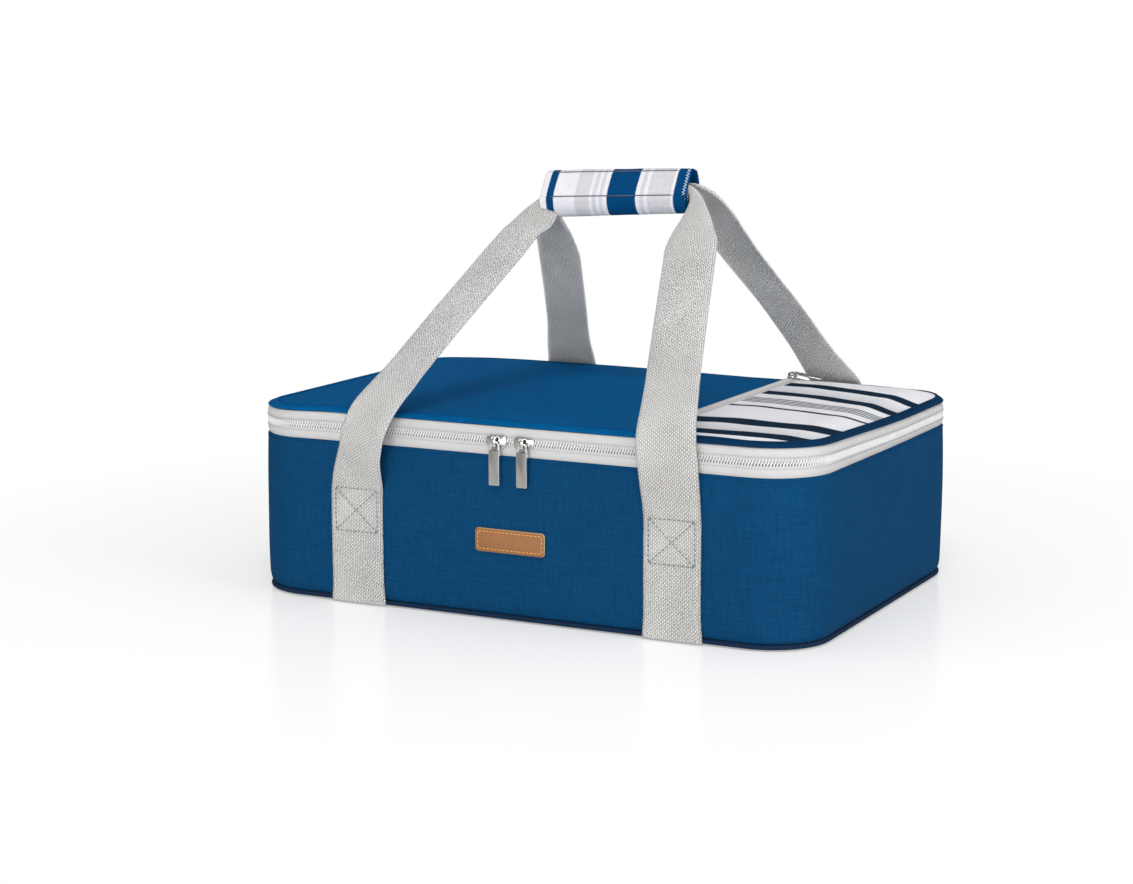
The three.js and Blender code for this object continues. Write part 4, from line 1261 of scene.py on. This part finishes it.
def spline(knots, count):
    """A smooth line through a few (y, z) knots."""
    knots = np.asarray(knots, float)
    padded = np.vstack([2 * knots[0] - knots[1], knots, 2 * knots[-1] - knots[-2]])
    t = np.linspace(0, 1, 12, endpoint=False)[:, None]
    spans = []
    for a, b, c, d in zip(padded, padded[1:], padded[2:], padded[3:]):
        bent = (2 * a - 5 * b + 4 * c - d) * t ** 2 + (3 * b - a - 3 * c + d) * t ** 3
        spans.append(0.5 * (2 * b + (c - a) * t + bent))
    points = np.vstack([*spans, knots[-1]])
    run = lengths(points)
    return read_off(points, run, np.linspace(0, run[-1], count))


def grip_section(x, outline):
    """Sets a (y, z) outline at one place along the grip; its lower side draws in to the right."""
    low = np.minimum(outline[:, 1], 0.0)
    height = grip_z(GRIP_X + x) + outline[:, 1] - low * 0.1 * smooth(x, -GRIP_HALF, GRIP_HALF)
    return np.column_stack([np.full(len(outline), GRIP_X + x), outline[:, 0], height])


def wrap_shell(knots, thick, count, puff, trim_by=0.0, crease=None):
    """One padded part of the grip: its outer outline carried along the grip, with a soft closed section."""
    first = GRIP_ENDS[0] + trim_by
    last = GRIP_ENDS[1] - trim_by
    outline = spline(knots, count)
    along = tangents(outline)
    inward = np.column_stack([-along[:, 1], along[:, 0]])
    v = lengths(outline)
    rounding = np.clip(np.sin(np.linspace(0, math.pi, count)), 0, 1) ** 0.35
    trim = np.array([0.0, 0.15, 0.5, 1.1, 2.0])
    xs = np.concatenate([first + trim, np.linspace(first + 4, last - 4, 64), last - trim[::-1]])
    depth = np.concatenate([[0.5, 0.24, 0.1, 0.03, 0.0], np.zeros(64), [0.0, 0.03, 0.1, 0.24, 0.5]])
    outer = np.zeros((len(xs), count, 3))
    inner = np.zeros((len(xs), count, 3))
    for i, x in enumerate(xs):
        swell = puff * (1 - min(abs(x / GRIP_HALF), 1.0) ** 6) * rounding
        swell = swell + min(0.22, puff) * ripple(x, v * 1.3, 34.0, 11) * rounding
        if crease is not None:
            swell = swell - crease(v / v[-1])
        move = thick * depth[i] - swell + 0.28 * thick * (1 - rounding)
        outer[i] = grip_section(x, outline + inward * move[:, None])
        move = thick * (1 - depth[i] * 0.98) - 0.28 * thick * (1 - rounding)
        inner[i] = grip_section(x, outline + inward * move[:, None])
    shape = Shape()
    loop = np.concatenate([outer, inner[:, ::-1]], axis=1)
    around = np.concatenate([v, v[::-1], v[:1]])
    shape.tube(loop, xs + GRIP_HALF, around)
    return shape


# Outlines of the wrap's parts across the grip, as (y, z).
WRAP_FRONT = (
    (7.0, 14.8), (3.0, 15.9), (-0.8, 15.7), (-3.4, 13.4), (-7.2, 7.6), (-10.8, 1.9), (-12.0, -1.2),
    (-11.2, -5.0), (-9.6, -9.2), (-6.8, -12.2), (-3.0, -13.6), (-0.4, -13.8),
)
WRAP_REAR = (
    (0.2, -15.2), (4.0, -14.4), (8.2, -12.4), (11.2, -8.4),
    (12.5, -2.0), (12.2, 4.6), (10.4, 10.6), (7.6, 14.4),
)
WRAP_TONGUE = (
    (-13.2, -1.4), (-13.0, -5.2), (-11.5, -10.2), (-8.2, -14.4), (-4.2, -15.8), (0.0, -15.8), (4.0, -15.2),
)
LOOP_STRIP = ((-11.5, -5.2), (-9.9, -9.4), (-7.0, -12.5), (-3.2, -13.9))
HOOK_STRIP = ((-3.8, -14.4), (-7.5, -13.0), (-10.5, -9.6), (-11.9, -5.2))


def add_wrap():
    def pressed(t):
        """A crease along the top, and the place that the loop strip presses in."""
        return 0.45 * np.exp(-((t - 0.17) / 0.012) ** 2) + 0.75 * smooth(t, 0.62, 0.68)

    front = wrap_shell(WRAP_FRONT, 3.0, 84, 0.5, crease=pressed)
    piece = front.make("wrap_front_pad", WRAP_CLOTH, "front_handle", ["wrap_front_half"], "striped_cloth")

    flap = wrap_shell(WRAP_REAR, 3.0, 60, 0.5)
    flap.join(wrap_shell(WRAP_TONGUE, 1.2, 44, 0.1, 0.4))
    piece = flap.make("wrap_flap_pad", WRAP_CLOTH, "wrap_closure", ["wrap_flap"], "striped_cloth")

    xs = np.linspace(-GRIP_HALF + 9.0, GRIP_HALF - 6.0, 40)
    for name, y, z, body in (
        ("wrap_edge_thread", -13.15, -1.3, "wrap_closure"),
        ("wrap_top_thread", -2.9, 14.7, "front_handle"),
    ):
        seam = Shape()
        line = np.vstack([grip_section(x, np.array([[y, z]])) for x in xs])
        cord(seam, line, FRONT, 0.32, 0.3, 6, 2.0)
        seam.make(name, EDGE_THREAD, body, slot="striped_cloth")

    seam = Shape()
    for k, point in enumerate(spline(WRAP_FRONT[2:8], 24)):
        x = GRIP_ENDS[1] - 1.6 + 0.4 * (k % 2)
        place = grip_section(x, point[None])[0] + np.array([0, -0.55, 0.15])
        slant = RIGHT + UP * (0.5 if k % 2 else -0.5)
        capsule(seam, place, slant, FRONT, 2.4, 0.45, 0.4)
    seam.make("wrap_overlock_thread", OVERLOCK, "front_handle", slot="striped_cloth")

    for name, knots, material, body in (
        ("loop", LOOP_STRIP, LOOP_PILE, "front_handle"),
        ("hook", HOOK_STRIP, HOOK_PILE, "wrap_closure"),
    ):
        strip = wrap_shell(knots, 0.5, 20, 0.0, 8.0)
        strip.make("wrap_" + name + "_pile", material, body, ["wrap_" + name + "_strip"], "navy_cloth")


def add_label():
    low, high = cad_box("label_patch")
    centre = (low + high) / 2
    half_x, _, half_z = (high - low) / 2
    face = HALF_Y + wall_swell(centre[2]) + 0.15
    thick = 1.5
    seam_inset = 2.0

    def place(a, b, depth):
        bend = 0.25 * math.sin((a / half_x + 0.3) * 2.2) * (0.3 + abs(b) / half_z)
        return np.array([centre[0] + a, -face - depth - max(bend, 0.0) * 0.4, centre[2] + b])

    shape = Shape()
    plate(shape, rounded_box(-half_x, half_x, -half_z, half_z, 2.2), thick, place, 0.45)
    shape.make("leather_label_patch", LEATHER, "tub", ["label_patch"], "leather")
    seam = Shape()
    inside = (half_x - seam_inset, 0.0, half_z - seam_inset)
    middle = np.array([centre[0], -face - thick, centre[2]])
    corners = [middle + np.multiply(inside, (a, 0, b)) for a, b in QUARTERS]
    for start, end in zip(corners, corners[1:] + corners[:1]):
        stitch_row(seam, np.linspace(start, end, 16), FRONT, 1.9, 0.9, 0.55, 0.05)
    seam.make("label_thread", ORANGE_THREAD, "tub", slot="leather")


add_tub()
add_lining()
add_zip()
add_sliders()
add_lid()
add_pocket()
add_pocket_zip()
add_pocket_slider()
for side_x in (-1, 1):
    for side_y in (-1, 1):
        add_strap(side_x, side_y)
add_grips()
add_wrap()
add_label()


# Stage: floor, light and camera.

def add_floor():
    mesh = bpy.data.meshes.new("studio_floor")
    mesh.from_pydata([(30.0 * a, 30.0 * b, 0) for a, b in QUARTERS], [], [(0, 1, 2, 3)])
    floor = bpy.data.objects.new("studio_floor", mesh)
    bpy.context.scene.collection.objects.link(floor)
    f = Finish("pale_floor", (1.0, 1.0, 1.0), 0.2, specular=0.3)
    f.solid_axes()
    f.roughness(f.noise(3.0, 2.0), 0.16, 0.2)
    distance = f.node("ShaderNodeVectorMath", {0: f.vector}, operation="LENGTH").outputs["Value"]
    seen = f.node("ShaderNodeLightPath").outputs["Is Camera Ray"]
    far = f.times(f.ramp(distance, 0.22, 0.6, 0.35, 1.0), seen)
    glow = f.node("ShaderNodeEmission").outputs[0]
    blend = f.node("ShaderNodeMixShader", {0: far, 1: f.shader.outputs[0], 2: glow})
    f.put(blend.outputs[0], f.nodes["Material Output"].inputs["Surface"])
    mesh.materials.append(f.material)
    floor.location.z = -0.0006


def add_world():
    world = bpy.data.worlds.new("studio")
    bpy.context.scene.world = world
    world.use_nodes = True
    nodes = world.node_tree.nodes
    links = world.node_tree.links
    light = nodes["Background"]
    white = nodes.new("ShaderNodeBackground")
    for background in (light, white):
        background.inputs["Color"].default_value = (1.0, 1.0, 1.0, 1.0)
    light.inputs["Strength"].default_value = 0.62
    mix = nodes.new("ShaderNodeMixShader")
    path = nodes.new("ShaderNodeLightPath")
    for k, socket in enumerate((path.outputs["Is Camera Ray"], light.outputs[0], white.outputs[0])):
        links.new(socket, mix.inputs[k])
    links.new(mix.outputs[0], nodes["World Output"].inputs["Surface"])


def put_in_place(name, data, place, target):
    """Sets a lamp or a camera in its place, turned to a target."""
    holder = bpy.data.objects.new(name, data)
    holder.location = place
    holder.rotation_euler = (Vector(target) - Vector(place)).to_track_quat("-Z", "Y").to_euler()
    bpy.context.scene.collection.objects.link(holder)
    return holder


def add_lamps():
    for name, place, target_z, width, height, power in (
        ("key_softbox", (0.62, -1.52, 2.4), 0.1, 0.9, 0.7, 24.0),
        ("left_softbox", (-1.9, -1.0, 1.2), 0.1, 1.2, 1.2, 6.0),
        ("right_softbox", (2.2, -0.3, 0.9), 0.1, 1.2, 1.2, 24.0),
        ("front_fill", (0.5, -2.3, 0.12), 0.2, 2.6, 0.5, 46.0),
    ):
        lamp = bpy.data.lights.new(name, "AREA")
        lamp.shape = "RECTANGLE"
        lamp.size = width
        lamp.size_y = height
        lamp.energy = power
        put_in_place(name, lamp, place, (0, 0, target_z))


def add_camera():
    camera = bpy.data.cameras.new("photo_camera")
    camera.sensor_width = 36.0
    camera.sensor_fit = "HORIZONTAL"
    camera.lens = 79.635
    eye = put_in_place("photo_camera", camera, (0.74644, -1.54515, 0.39299), (-0.03306, 0.0, 0.09344))
    bpy.context.scene.camera = eye


add_floor()
add_world()
add_lamps()
add_camera()
bpy.context.scene.view_settings.view_transform = "Standard"
